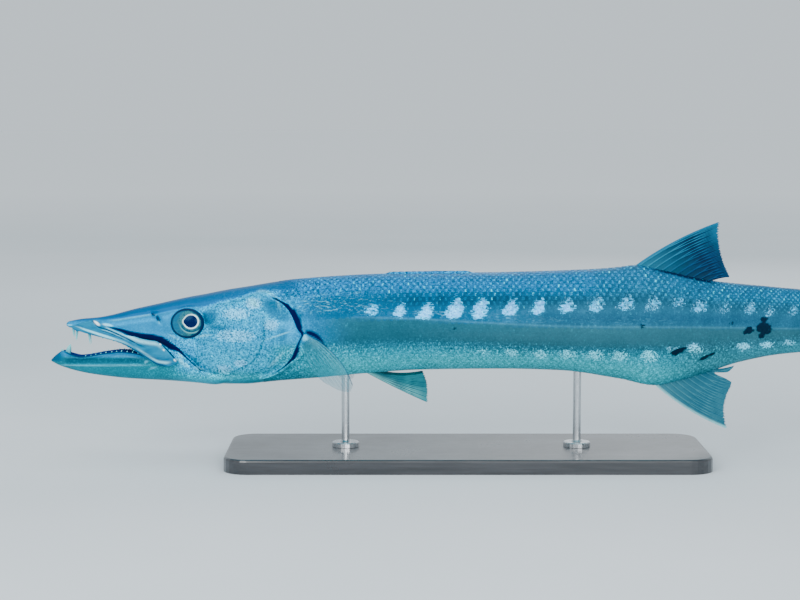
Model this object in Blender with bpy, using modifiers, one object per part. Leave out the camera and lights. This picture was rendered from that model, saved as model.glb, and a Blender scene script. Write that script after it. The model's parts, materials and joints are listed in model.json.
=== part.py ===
"""Great barracuda on a display stand, life size, as separate closed solids.

The head points along -X, the left side faces -Y and +Z is up. The origin is the middle of the
stand's underside. Sizes are in millimetres and MM turns them into Blender's metres. On the fish,
s is the distance behind the tip of the snout, y the distance from the middle plane and h the
height above the body's axis, which runs level through the middle of the tail stalk.
"""

import bisect
import math
import random

import bmesh
import bpy
from mathutils import Matrix, Vector

MM = 0.001
GAP = 0.3  # between pieces that touch
LEFT, RIGHT = -1, 1
SIDES = (("left", LEFT), ("right", RIGHT))

# Where the fish is held
SNOUT_X = -501.0  # the snout tip, from the middle of the stand
AXIS_HEIGHT = 172.0  # the body's axis, above the floor

# Where the trunk is divided
NECK = 262.0
MID_TRUNK = 520.0
VENT = 700.0
STALK = 836.0
TAIL_END = 962.0
SPLITS = (NECK, MID_TRUNK, VENT, STALK)

RING = 26  # points round a section of the trunk
TOOTH_SIDES = 5


def profile(*knots):
    """A smooth curve through (place, value) knots, level past both ends and with no overshoot."""
    places = [k[0] for k in knots]
    values = [k[1] for k in knots]
    steps = [b - a for a, b in zip(places, places[1:])]
    slopes = [(b - a) / d for a, b, d in zip(values, values[1:], steps)]
    tangents = [slopes[0]]
    for a, b in zip(slopes, slopes[1:]):
        tangents.append(0.0 if a * b <= 0 else 2 * a * b / (a + b))
    tangents.append(slopes[-1])

    def value(place):
        if place <= places[0]:
            return values[0]
        if place >= places[-1]:
            return values[-1]
        i = bisect.bisect_right(places, place) - 1
        t = (place - places[i]) / steps[i]
        rise = (3 - 2 * t) * t * t
        bend = t * (1 - t) * steps[i]
        turn = (1 - t) * tangents[i] - t * tangents[i + 1]
        return values[i] + rise * (values[i + 1] - values[i]) + bend * turn

    return value


# The trunk, from the upper jaw to the root of the tail fin, as curves along s
BACK = profile(
    (0, 4.0), (18, 7.5), (42, 10), (92, 20.5), (143, 32), (205, 44), (280, 56), (400, 63.5),
    (543, 65.5), (650, 69), (690, 72), (711, 74.5), (743, 68.5), (806, 55), (868, 48.5), (962, 40),
)
BELLY = profile(
    (0, -2), (18, -5), (92, -13), (118, -18), (130, -25), (143, -34), (156, -46), (168, -60),
    (180, -70.5), (200, -74), (222, -74), (268, -69), (318, -65), (378, -59.5), (448, -55),
    (543, -54), (618, -56), (693, -67), (736, -75.5), (768, -69), (811, -56), (842, -46),
    (893, -36), (962, -30),
)
HALF_WIDTH = profile(
    (0, 2.5), (5, 5), (18, 8.5), (42, 12), (92, 18.5), (143, 26), (205, 35), (280, 43),
    (355, 47), (550, 49.5), (640, 48.5), (711, 44), (760, 39), (806, 33), (868, 25), (918, 18),
    (945, 11), (962, 5),
)
WIDEST = profile((0, 0), (42, -3), (143, -8), (205, -9), (280, -5), (400, 2), (806, 0), (962, 5))
BACK_POWER = profile((0, 2.2), (60, 2.6), (143, 3.0), (205, 2.8), (280, 2.4), (400, 2.1),
                     (660, 2.0), (711, 1.65), (770, 1.9), (868, 2.1), (962, 2.6))
BELLY_POWER = profile((0, 2.2), (60, 3.0), (120, 3.2), (156, 2.6), (205, 2.3), (400, 2.1),
                      (660, 2.0), (736, 1.65), (811, 1.9), (868, 2.1), (962, 2.6))

# The lower jaw, dropped open, and the hollow of the mouth above its floor
JAW_REAR = 208.0
JAW_RIM = profile((-19, -43), (-12, -36.5), (-4, -32), (7, -36), (18, -38.5), (49, -34), (68, -32),
                  (86, -33.5), (111, -40), (150, -50), (208, -62))
JAW_CHIN = profile((-19, -46), (-8, -51.5), (11, -57.5), (30, -61.5), (55, -65), (80, -67.5),
                   (130, -70), (168, -72.8), (186, -74.5), (208, -71))
JAW_HALF = profile((-19, 1.5), (-14, 4.5), (-4, 7.5), (18, 11), (42, 13), (68, 14.5), (92, 16),
                   (118, 19), (143, 22), (168, 25.5), (186, 26.5), (208, 18))
JAW_LIP = 4.0  # the rim's rounded edge, down to the jaw's widest height
JAW_WALL = 3.4
MOUTH_FLOOR = profile((-6, -40), (10, -46), (40, -50), (100, -52), (160, -58))
MOUTH_FRONT, MOUTH_REAR = -5.0, 158.0
TONGUE_FRONT, TONGUE_REAR = 34.0, 118.0
TONGUE_HALF, TONGUE_RISE = 6.5, 5.0

# The toothed plates of the upper jaw, which slant down past the side of the mouth
LIP_FRONT, LIP_REAR = 9.0, 141.0
LIP_TOP = profile((9, -0.5), (20, 4), (34, 7), (45, 3), (61, -2), (92, -8), (117, -13), (128, -19),
                  (136, -29), (141, -40))
LIP_EDGE = profile((9, -3.5), (20, -9.5), (42, -16), (80, -27), (105, -38), (122, -48), (133, -51),
                   (139, -48), (141, -43))
LIP_PROUD = profile((9, 0.3), (42, 0.8), (92, 1.2), (141, 2.2))  # beyond the head's side
LIP_THICK = profile((9, 2.4), (30, 3.2), (141, 3.4))
LIP_SEAM_DEPTH = 0.55  # of the groove where the two bones of a plate meet, as a share

# Teeth. A fang is its place s, how far it stands from the middle, its length, the lean of its
# tip towards the tail and its radius. A row of small teeth starts at a place and repeats.
UPPER_FANGS = ((12.0, 2.6, 11.0, -0.5, 1.4), (18.5, 3.7, 13.0, -1.5, 1.6),
               (28.5, 5.0, 12.0, 2.5, 1.5), (44.0, 6.8, 7.0, 1.5, 1.3), (58.0, 8.2, 5.5, 1.5, 1.2))
LOWER_FANGS = ((4.0, 4.4, 13.0, 1.5, 2.2), (-5.0, 2.4, 4.5, -1.0, 1.3))
FANG_FLAT, FANG_ROOT = 0.62, 3.5
UPPER_TEETH, UPPER_TEETH_START, UPPER_TEETH_STEP, UPPER_TEETH_LENGTH = 11, 46.0, 6.8, 2.6
LOWER_TEETH, LOWER_TEETH_START, LOWER_TEETH_STEP, LOWER_TEETH_LENGTH = 14, 22.0, 5.9, 2.2
LOWER_TEETH_GROWTH = 1.4  # the last tooth of the row is this much longer
TOOTH_RADIUS, TOOTH_FLAT, TOOTH_SPREAD = 1.1, 0.7, 0.6

# The gill covers, as the places of their front and rear edges at each height
GILL_TOP, GILL_FOOT = 38.0, -64.0
GILL_FRONT = profile((-64, 214), (-45, 233), (-10, 246), (20, 244), (38, 236))
GILL_REAR = profile((-64, 243), (-56, 262), (-47, 274), (-37, 283), (-26, 288), (-13, 294),
                    (-7.5, 296.5), (0, 291.5), (11, 287), (22, 281), (31, 272), (38, 258))
GILL_PLATE, GILL_RIM, GILL_PROUD = 3.4, 1.4, 0.7
GILL_SLIT = 2.6
GILL_POCKET_LIFT, GILL_BED = 6.0, 0.9

# Eyes and nostrils
EYE_S, EYE_H, EYE_RADIUS, EYE_TALL, EYE_DEPTH, EYE_SUNK = 155.0, 6.5, 21.2, 18.8, 9.0, 5.4
EYE_SHOWN = math.sqrt(1 - (EYE_SUNK / EYE_DEPTH) ** 2)  # the share of the radius at the skin
SOCKET_GAP = 0.5
RIM_WIDTH, RIM_PROUD = 1.9, 0.9
NOSTRILS = ((112.0, 14.5, 3.0), (122.0, 10.0, 3.6))  # s, h and half length
NOSTRIL_DEPTH = 2.2

# Fins. A fin's edge is a curve of s and one of h over u, from its first ray at 0 to its last
# at 1. On the paired fins the two run along the fin and down it instead.
FIN_ROOT = 9.0  # how far a fin starts inside what it grows from, before it is cut back
FIN_EDGE = 0.9
RAY_RIDGE = 0.35
WEB_NOTCH = 0.02  # the web between two rays ends this share short of their tips

DORSAL_RAYS, DORSAL_START, DORSAL_END, DORSAL_THICK = 10, 711.0, 806.0, 3.6
DORSAL_EDGE_S = profile((0, 815), (0.35, 811), (0.65, 816), (1, 829))
DORSAL_EDGE_H = profile((0, 130), (0.35, 106), (0.65, 88), (1, 59))
DORSAL_BOW = profile((0, 4.5), (1, 1.0))

ANAL_RAYS, ANAL_START, ANAL_END, ANAL_THICK = 10, 737.0, 812.0, 3.6
ANAL_EDGE_S = profile((0, 826), (0.3, 820), (0.6, 826), (0.85, 833), (1, 840))
ANAL_EDGE_H = profile((0, -129), (0.3, -109), (0.6, -90), (0.85, -71), (1, -58))
ANAL_BOW = profile((0, -5.0), (1, -1.0))

TAIL_RAYS, TAIL_THICK, TAIL_ROOT, TAIL_MIDDLE = 9, 7.0, 5.0, 5.0
TAIL_BASE_S = profile((0, 952), (0.5, 960), (1, 960))
TAIL_BASE_H = profile((0, 33), (1, GAP))  # above and below TAIL_MIDDLE, as is the edge
TAIL_EDGE_S = profile((0, 1118), (0.25, 1080), (0.5, 1057), (0.72, 1050), (0.88, 1049), (1, 1036))
TAIL_EDGE_H = profile((0, 113), (0.25, 79), (0.5, 50), (0.72, 28), (0.88, 12), (1, GAP))
TAIL_BOW = profile((0, 9.0), (0.5, 2.3), (1, 0))

PELVIC_RAYS, PELVIC_START, PELVIC_BASE, PELVIC_THICK, PELVIC_ROOT = 6, 374.0, 14.0, 2.4, 6.0
PELVIC_SPLAY = math.radians(24)
PELVIC_EDGE_ALONG = profile((0, 79), (0.4, 79), (1, 73))
PELVIC_EDGE_DOWN = profile((0, 40), (0.4, 24), (1, 1))
PELVIC_BOW = profile((0, 1.0), (1, 4.0))

PECTORAL_RAYS, PECTORAL_S, PECTORAL_H, PECTORAL_BASE = 9, 303.0, -14.0, 12.0
PECTORAL_THICK, PECTORAL_ROOT, PECTORAL_SLANT = 2.4, 8.0, math.radians(46)
PECTORAL_SPREAD, PECTORAL_CURL = 0.34, 0.0024
PECTORAL_EDGE_ALONG = profile((0, 82), (0.3, 85), (0.65, 75), (1, 52))
PECTORAL_EDGE_DOWN = profile((0, -4), (0.3, 1.5), (0.65, 7), (1, 12))
PECTORAL_BOW = profile((0, -3.5), (1, 3.5))
CREST_START, CREST_END = 400.0, 508.0
CREST_HALF, CREST_DEPTH = 2.3, 3.2
CREST_RISE = profile((400, 0.6), (412, 2.4), (460, 2.6), (508, 0.6))
CREST_SPINES, SPINE_STEP, SPINE_LENGTH, SPINE_RADIUS = 5, 11.0, 58.0, 1.5

# The stand
BASE_LENGTH, BASE_WIDTH, BASE_THICK, BASE_CORNER, BASE_EDGE = 600.0, 190.0, 18.0, 30.0, 3.0
ROD_PLACES = (("front", 349.0), ("rear", 640.0))
ROD_RADIUS, FLANGE_RADIUS, FLANGE_THICK = 5.0, 17.0, 6.0

random.seed(7)
for leftover in list(bpy.data.objects):
    bpy.data.objects.remove(leftover)
model = bpy.data.collections.new("barracuda")
bpy.context.scene.collection.children.link(model)


def material(name, colour, roughness, metallic=0.0):
    made = bpy.data.materials.new(name)
    made.use_nodes = True
    shader = made.node_tree.nodes["Principled BSDF"]
    shader.inputs["Base Color"].default_value = (*colour, 1)
    shader.inputs["Roughness"].default_value = roughness
    shader.inputs["Metallic"].default_value = metallic
    return made


SKIN = material("silver skin", (0.22, 0.44, 0.52), 0.35, 0.3)
JAW_SKIN = material("jaw skin", (0.30, 0.56, 0.60), 0.35, 0.2)
FIN = material("fin web", (0.12, 0.30, 0.38), 0.4)
EYE = material("eye", (0.75, 0.80, 0.78), 0.08)
TONGUE = material("tongue", (0.35, 0.32, 0.36), 0.4)
BOARD = material("stand board", (0.06, 0.065, 0.07), 0.4)
STEEL = material("stand rod", (0.6, 0.62, 0.64), 0.3, 1.0)

fish = bpy.data.objects.new("fish", None)
fish.location = (SNOUT_X * MM, 0, AXIS_HEIGHT * MM)
model.objects.link(fish)


def point(s, y, h):
    return Vector((s, y, h)) * MM


def piece(name, shape, finish, parent=fish):
    """A named object from a bmesh whose faces are turned outwards."""
    bmesh.ops.recalc_face_normals(shape, faces=shape.faces)
    mesh = bpy.data.meshes.new(name)
    shape.to_mesh(mesh)
    shape.free()
    made = bpy.data.objects.new(name, mesh)
    model.objects.link(made)
    made.parent = parent
    if finish:
        mesh.materials.append(finish)
    return made


def loft(name, rings, finish=None):
    """A closed solid through rings of equal count, capped at both ends."""
    shape = bmesh.new()
    rows = [[shape.verts.new(p) for p in ring] for ring in rings]
    count = len(rows[0])
    for row, after in zip(rows, rows[1:]):
        for i in range(count):
            j = (i + 1) % count
            shape.faces.new((row[i], row[j], after[j]))
            shape.faces.new((row[i], after[j], after[i]))
    shape.faces.new(rows[0])
    shape.faces.new(rows[-1])
    return piece(name, shape, finish)


def shell(name, front, back, finish=None):
    """A closed plate between two grids of points, split into triangles alike on both faces."""
    shape = bmesh.new()
    grids = [[[shape.verts.new(p) for p in row] for row in grid] for grid in (front, back)]
    rows, columns = len(front), len(front[0])
    for grid in grids:
        for row, after in zip(grid, grid[1:]):
            for c in range(columns - 1):
                shape.faces.new((row[c], row[c + 1], after[c + 1]))
                shape.faces.new((row[c], after[c + 1], after[c]))
    border = [(0, c) for c in range(columns - 1)]
    border += [(r, columns - 1) for r in range(rows - 1)]
    border += [(rows - 1, c) for c in range(columns - 1, 0, -1)]
    border += [(r, 0) for r in range(rows - 1, 0, -1)]
    for (r, c), (p, q) in zip(border, border[1:] + border[:1]):
        shape.faces.new((grids[0][r][c], grids[0][p][q], grids[1][p][q]))
        shape.faces.new((grids[0][r][c], grids[1][p][q], grids[1][r][c]))
    return piece(name, shape, finish)


def ball(name, seat, radii, sunk=0.0, segments=20, rings=9, finish=None):
    """An ellipsoid whose poles stand along the seat's Z, with its centre sunk under the seat."""
    shape = bmesh.new()
    bmesh.ops.create_uvsphere(shape, u_segments=segments, v_segments=rings, radius=MM)
    bmesh.ops.scale(shape, vec=Vector(radii), verts=shape.verts)
    bmesh.ops.translate(shape, vec=Vector((0, 0, -sunk)) * MM, verts=shape.verts)
    bmesh.ops.transform(shape, matrix=seat, verts=shape.verts)
    return piece(name, shape, finish)


def ring_ridge(name, seat, radii, width, proud):
    """A closed ring that lies on the seat, as wide and as proud of it as given."""
    around, across = 22, 6
    shape = bmesh.new()
    loops = []
    for i in range(around):
        turn = 2 * math.pi * i / around
        loop = []
        for j in range(across):
            roll = 2 * math.pi * j / across
            reach = 1 + width * math.cos(roll) / radii[0]
            at = Vector((radii[0] * reach * math.cos(turn), radii[1] * reach * math.sin(turn),
                         proud * math.sin(roll))) * MM
            loop.append(shape.verts.new(seat @ at))
        loops.append(loop)
    for loop, after in zip(loops, loops[1:] + loops[:1]):
        for j in range(across):
            k = (j + 1) % across
            shape.faces.new((loop[j], after[j], after[k], loop[k]))
    return piece(name, shape, None)


def thorn(root, tip, radius, flat=1.0, sides=TOOTH_SIDES):
    """A tapered tooth or spine from root to tip, flattened across the fish by a share."""
    shape = bmesh.new()
    length = (tip - root).length
    bmesh.ops.create_cone(shape, cap_ends=True, segments=sides, radius1=radius * MM,
                          radius2=radius * MM * 0.18, depth=length)
    bmesh.ops.scale(shape, vec=Vector((1, flat, 1)), verts=shape.verts)
    along = (tip - root).to_track_quat("Z", "Y").to_matrix().to_4x4()
    bmesh.ops.transform(shape, matrix=Matrix.Translation((root + tip) / 2) @ along,
                        verts=shape.verts)
    return piece("thorn", shape, None)


def keep_largest(mesh):
    """Leaves only the closed surface that holds most."""
    shape = bmesh.new()
    shape.from_mesh(mesh)
    left, bodies = set(shape.verts), []
    while left:
        body, edge = set(), [left.pop()]
        while edge:
            v = edge.pop()
            body.add(v)
            for near in (e.other_vert(v) for e in v.link_edges):
                if near in left:
                    left.discard(near)
                    edge.append(near)
        bodies.append(body)
    spans = [max(v.co.x for v in b) - min(v.co.x for v in b) for b in bodies]
    most = bodies[spans.index(max(spans))]
    loose = [v for body in bodies if body is not most for v in body]
    bmesh.ops.delete(shape, geom=loose, context="VERTS")
    shape.to_mesh(mesh)
    shape.free()


def combine(target, operation, others, solver="EXACT"):
    """Joins the others to the target, or cuts them from it, and removes them."""
    group = bpy.data.collections.new("operands")
    bpy.context.scene.collection.children.link(group)
    for other in others:
        group.objects.link(other)
    step = target.modifiers.new(operation.lower(), "BOOLEAN")
    step.operation = operation
    step.operand_type = "COLLECTION"
    step.collection = group
    step.solver = solver
    bpy.context.view_layer.update()
    graph = bpy.context.evaluated_depsgraph_get()
    mesh = bpy.data.meshes.new_from_object(target.evaluated_get(graph))
    target.modifiers.clear()
    target.data = mesh
    for other in others:
        bpy.data.objects.remove(other)
    bpy.data.collections.remove(group)
    keep_largest(mesh)
    return target


def join(target, others):
    return combine(target, "UNION", others)


def cut(target, *cutters):
    return combine(target, "DIFFERENCE", cutters)


def shade(*objects):
    for shown in objects:
        shown.data.shade_smooth()
        shown.data.set_sharp_from_angle(angle=math.radians(38))


def section(s, top, foot, half, widest, top_power, foot_power, count=RING):
    """The points of a rounded section whose upper and lower halves have their own fullness."""
    ring = []
    for i in range(count):
        angle = 2 * math.pi * i / count
        across, up = math.cos(angle), math.sin(angle)
        power = top_power if up >= 0 else foot_power
        reach = top - widest if up >= 0 else widest - foot
        y = half * math.copysign(abs(across) ** (2 / power), across)
        h = widest + reach * math.copysign(abs(up) ** (2 / power), up)
        ring.append(point(s, y, h))
    return ring


def trunk_stations():
    """Places of the trunk's sections, closer where the outline turns fast."""
    places = [0, 1.5, 4, 8, 13, 20, 30, 42, 58, 75, 92, 107]
    places += [119 + 8.5 * i for i in range(9)]
    places += [199, 215, 231, 247]
    places += [NECK + 25.8 * i for i in range(1, 10)]
    places += [MID_TRUNK + 30 * i for i in range(1, 6)]
    places += [VENT + 11.33 * i for i in range(1, 12)]
    places += [STALK + 24 * i for i in range(1, 5)] + [948, 957, TAIL_END]
    for split in SPLITS:
        places += [split, split + GAP]
    return sorted(places)


STATIONS = trunk_stations()


def trunk(name, first, last, finish=None, grow=0.0):
    """A length of the trunk, or of the trunk swollen by a gap, from first to last."""
    places = [s for s in STATIONS if first <= s <= last]
    rings = [
        section(s, BACK(s) + grow, BELLY(s) - grow, HALF_WIDTH(s) + grow, WIDEST(s),
                BACK_POWER(s), BELLY_POWER(s))
        for s in places
    ]
    if grow and last >= TAIL_END:
        rings.append([p + point(grow, 0, 0) for p in rings[-1]])
    return loft(name, rings, finish)


def on_skin(s, h, side, lift=0.0):
    """A point on the trunk's side at that height, lifted along the section's own normal."""
    widest, half = WIDEST(s), HALF_WIDTH(s)
    upper = h >= widest
    power = BACK_POWER(s) if upper else BELLY_POWER(s)
    reach = BACK(s) - widest if upper else widest - BELLY(s)
    rise = min(abs(h - widest) / reach, 0.995)
    out = (1 - rise**power) ** (1 / power)
    across = out ** (power - 1) / half
    up = rise ** (power - 1) / reach * (1 if upper else -1)
    size = math.hypot(across, up)
    return point(s, side * (half * out + lift * across / size), h + lift * up / size)


def seat_on_skin(s, h, side):
    """A frame on the trunk's side: X back along the fish, Y up it and Z straight out."""
    step = 2.0
    along = (on_skin(s + step, h, side) - on_skin(s - step, h, side)).normalized()
    up = (on_skin(s, h + step, side) - on_skin(s, h - step, side)).normalized()
    out = along.cross(up) * -side
    seat = Matrix((along, out.cross(along) * -side, out)).transposed().to_4x4()
    seat.translation = on_skin(s, h, side)
    return seat


# --- Trunk and head -----------------------------------------------------------------------------


def gill_grid(side, lift, rim_lift, bed=0.0, slit=0.0):
    """Points over a gill cover, from its front edge to its free rear edge, row by row."""
    rows, columns = 17, 7
    grid = []
    for r in range(rows):
        share = r / (rows - 1)
        h = GILL_TOP + (GILL_FOOT - GILL_TOP) * share
        front = GILL_FRONT(h) - 1.5 * bed
        if r == 0:
            h += bed
        if r == rows - 1:
            h -= bed
        rear = GILL_REAR(h) + slit
        row = []
        for c in range(columns):
            t = c / (columns - 1)
            row.append(on_skin(front + (rear - front) * t, h, side,
                               lift + (rim_lift - lift) * t**3))
        grid.append(row)
    return grid


def gill_cover(name, side):
    return shell(name, gill_grid(side, GILL_PROUD, GILL_PROUD * 1.2),
                 gill_grid(side, -GILL_PLATE, -GILL_RIM), SKIN)


def gill_pocket(side):
    floor = -GILL_PLATE - GILL_BED
    return shell("pocket", gill_grid(side, GILL_POCKET_LIFT, GILL_POCKET_LIFT, GILL_BED, GILL_SLIT),
                 gill_grid(side, floor, floor, GILL_BED, GILL_SLIT))


def lip_ring(s, side, grow=0.0, count=14):
    """A section of an upper jaw plate, with a groove where its two bones meet."""
    middle = (LIP_TOP(s) + LIP_EDGE(s)) / 2
    half_height = (LIP_TOP(s) - LIP_EDGE(s)) / 2 + grow
    half_thick = LIP_THICK(s) / 2 + grow
    centre = HALF_WIDTH(s) + LIP_PROUD(s) - LIP_THICK(s) / 2
    ring = []
    for i in range(count):
        angle = 2 * math.pi * i / count
        across, up = math.cos(angle), math.sin(angle)
        rise = math.copysign(abs(up) ** 0.8, up)
        out = half_thick * math.copysign(abs(across) ** 0.6, across)
        if i == 0 and not grow:
            out *= 1 - LIP_SEAM_DEPTH
        ring.append(point(s, side * (centre + out), middle + half_height * rise))
    return ring


def lip_plate(name, side, finish=None, grow=0.0):
    count = 14
    span = LIP_REAR - LIP_FRONT
    rings = []
    for i in range(count):
        share = i / (count - 1)
        eased = share - 0.06 * math.sin(2 * math.pi * share)
        rings.append(lip_ring(LIP_FRONT + span * eased, side, grow))
    if grow:
        rings = [[p - point(grow, 0, 0) for p in rings[0]]] + rings
        rings.append([p + point(grow, 0, 0) for p in rings[-1]])
    return loft(name, rings, finish)


def eye(name, side, finish=None, grow=0.0):
    radii = (EYE_RADIUS + grow, EYE_TALL + grow, EYE_DEPTH + grow)
    return ball(name, seat_on_skin(EYE_S, EYE_H, side), radii, EYE_SUNK, finish=finish)


def eye_rim(side):
    radii = (EYE_RADIUS * EYE_SHOWN + RIM_WIDTH, EYE_TALL * EYE_SHOWN + RIM_WIDTH)
    return ring_ridge("rim", seat_on_skin(EYE_S, EYE_H, side), radii, RIM_WIDTH, RIM_PROUD)


def nostril_cutters(side):
    made = []
    for s, h, half in NOSTRILS:
        radii = (half, half * 0.6, NOSTRIL_DEPTH)
        made.append(ball("nostril", seat_on_skin(s, h, side), radii, segments=10, rings=6))
    return made


def fang(place, side, h, way):
    """A long tooth at that height, up or down as way is 1 or -1, with its root in the jaw."""
    s, out, length, lean, radius = place
    root = point(s - lean * 0.3, side * out, h - way * FANG_ROOT)
    tip = point(s + lean, side * out, h + way * length)
    return thorn(root, tip, radius, FANG_FLAT)


def small_tooth(s, y, h, length, way):
    """A tooth of a row, of about that length above the gum, with its root 2 mm below it."""
    length += random.uniform(-TOOTH_SPREAD, TOOTH_SPREAD)
    return thorn(point(s, y, h - way * 2.0), point(s + 0.5, y, h + way * length), TOOTH_RADIUS,
                 TOOTH_FLAT)


def head():
    skull = join(trunk("head", 0, NECK, SKIN), [eye_rim(side) for _, side in SIDES])
    cutters = []
    for _, side in SIDES:
        cutters += [gill_pocket(side), eye("socket", side, grow=SOCKET_GAP)]
        cutters += nostril_cutters(side)
        cutters.append(lip_plate("lip bed", side, grow=GAP))
    cut(skull, *cutters)
    return join(skull, [fang(place, side, BELLY(place[0]) + 0.6, -1)
                        for place in UPPER_FANGS for _, side in SIDES])


def lip(name, side):
    plate = lip_plate(name, side, SKIN)
    teeth = []
    for i in range(UPPER_TEETH):
        s = UPPER_TEETH_START + UPPER_TEETH_STEP * i
        y = side * (HALF_WIDTH(s) + LIP_PROUD(s) - LIP_THICK(s) / 2)
        teeth.append(small_tooth(s, y, LIP_EDGE(s) + 0.5, UPPER_TEETH_LENGTH, -1))
    return join(plate, teeth)


def lower_jaw():
    places = [-19, -17.5, -15, -11, -6, 0, 7, 16, 30, 49, 68, 86, 105, 124, 142, 158, 172, 184, 196,
              JAW_REAR]
    rings = []
    for s in places:
        rim = JAW_RIM(s)
        rings.append(section(s, rim, JAW_CHIN(s), JAW_HALF(s), max(rim - JAW_LIP, JAW_CHIN(s) + 1),
                             4.0, 2.3, 22))
    jaw = loft("lower_jaw", rings, JAW_SKIN)
    hollow = []
    steps = 9
    for i in range(steps + 1):
        s = MOUTH_FRONT + (MOUTH_REAR - MOUTH_FRONT) * i / steps
        half = max(JAW_HALF(s) - JAW_WALL, 1.5)
        rim = JAW_RIM(s)
        hollow.append(section(s, rim + 12, MOUTH_FLOOR(s), half, rim - 3, 8.0, 2.4, 16))
    cut(jaw, loft("mouth", hollow), trunk("cheek", 92, NECK, grow=GAP * 1.6))
    teeth = [fang(place, side, JAW_RIM(place[0]) - 1.5, 1)
             for place in LOWER_FANGS for _, side in SIDES]
    for _, side in SIDES:
        for i in range(LOWER_TEETH):
            s = LOWER_TEETH_START + LOWER_TEETH_STEP * i
            length = LOWER_TEETH_LENGTH + LOWER_TEETH_GROWTH * i / (LOWER_TEETH - 1)
            y = side * (JAW_HALF(s) - JAW_WALL / 2)
            teeth.append(small_tooth(s, y, JAW_RIM(s) - 0.8, length, 1))
    return join(jaw, teeth)


def tongue():
    rings = []
    steps = 9
    for i in range(steps + 1):
        share = i / steps
        s = TONGUE_FRONT + (TONGUE_REAR - TONGUE_FRONT) * share
        swell = max(math.sin(math.pi * (0.06 + 0.6 * share)), 0.1)
        foot = MOUTH_FLOOR(s) + 2 * GAP
        rise = TONGUE_RISE * swell
        rings.append(section(s, foot + rise, foot, TONGUE_HALF * swell, foot + rise * 0.55,
                             2.0, 2.0, 14))
    return loft("tongue", rings, TONGUE)


def crest_ridge(name, finish=None, grow=0.0):
    """The first dorsal fin laid flat in its groove, as a low ridge along the back."""
    rings = []
    steps = 11
    for i in range(steps + 1):
        s = CREST_START + (CREST_END - CREST_START) * i / steps
        if grow:
            s += grow * (2 * i / steps - 1)
        back = BACK(s)
        ends = max(math.sin(math.pi * (0.1 + 0.8 * i / steps)) ** 0.5, 0.3)
        rings.append(section(s, back + CREST_RISE(s) + grow, back - CREST_DEPTH - grow,
                             CREST_HALF * ends + grow, back - 0.5, 2.0, 3.0, 10))
    return loft(name, rings, finish)


def first_dorsal_fin():
    folded = crest_ridge("dorsal_fin_first", FIN)
    spines = []
    for k in range(CREST_SPINES):
        s = CREST_START + 6 + SPINE_STEP * k
        length = SPINE_LENGTH - 3 * k
        start = point(s, 0, BACK(s) - 0.3)
        end = point(s + length, 0.5 * (-1) ** k, BACK(s + length) + CREST_RISE(s + length) + 0.7)
        spines.append(thorn(start, end, SPINE_RADIUS, sides=6))
    return join(folded, spines)


# --- Fins ---------------------------------------------------------------------------------------


def fin(name, rays, rows, base, edge, bow, thick, inward, place, root=FIN_ROOT):
    """A web between rays, each raised as a ridge on both faces.

    base(u) and edge(u) give where a ray starts and ends in the fin's own plane, for u from the
    first ray at 0 to the last at 1. bow(u) is how far it bends forward, inward is the way into
    the body, and place(a, b, off) turns a point of that plane into a point of the fish.
    """
    faces = ([], [])
    for c in range(2 * rays + 1):
        u = c / (2 * rays)
        start, end = Vector(base(u)), Vector(edge(u))
        along = (end - start).normalized()
        aside = Vector((-along.y, along.x))
        on_ray = c % 2 == 1
        reach = 1.0 if on_ray else 1.0 - WEB_NOTCH
        lines = ([], [])
        for r in range(rows + 1):
            v = max(r - 1, 0) / (rows - 1) * reach
            at = start + (end - start) * v + aside * bow(u) * 4 * v * (1 - v)
            if r == 0:
                at += Vector(inward) * root
            half = (thick + (FIN_EDGE - thick) * v**0.7) / 2
            half += RAY_RIDGE * (1 - 0.6 * v) if on_ray else 0.0
            lines[0].append(place(at.x, at.y, -half))
            lines[1].append(place(at.x, at.y, half))
        faces[0].append(lines[0])
        faces[1].append(lines[1])
    return shell(name, faces[0], faces[1], FIN)


def upright(a, b, off):
    """The middle plane of the fish."""
    return point(a, off, b)


def second_dorsal_fin():
    def base(u):
        s = DORSAL_START + (DORSAL_END - DORSAL_START) * u
        return s, BACK(s)

    made = fin("dorsal_fin_second", DORSAL_RAYS, 6, base,
               edge=lambda u: (DORSAL_EDGE_S(u), DORSAL_EDGE_H(u)),
               bow=DORSAL_BOW, thick=DORSAL_THICK, inward=(0, -1), place=upright)
    return cut(made, trunk("back", VENT, 880, grow=GAP))


def anal_fin():
    def base(u):
        s = ANAL_START + (ANAL_END - ANAL_START) * u
        return s, BELLY(s)

    made = fin("anal_fin", ANAL_RAYS, 6, base,
               edge=lambda u: (ANAL_EDGE_S(u), ANAL_EDGE_H(u)),
               bow=ANAL_BOW, thick=ANAL_THICK, inward=(0, 1), place=upright)
    return cut(made, trunk("vent", VENT, 880, grow=GAP))


def tail_lobe(name, way):
    """One lobe of the tail fin: way is 1 for the upper lobe and -1 for the lower."""
    made = fin(name, TAIL_RAYS, 7,
               base=lambda u: (TAIL_BASE_S(u), TAIL_MIDDLE + way * TAIL_BASE_H(u)),
               edge=lambda u: (TAIL_EDGE_S(u), TAIL_MIDDLE + way * TAIL_EDGE_H(u)),
               bow=lambda u: way * TAIL_BOW(u),
               thick=TAIL_THICK, inward=(-1, 0), place=upright, root=TAIL_ROOT)
    return cut(made, trunk("stalk", STALK, TAIL_END, grow=GAP))


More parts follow.
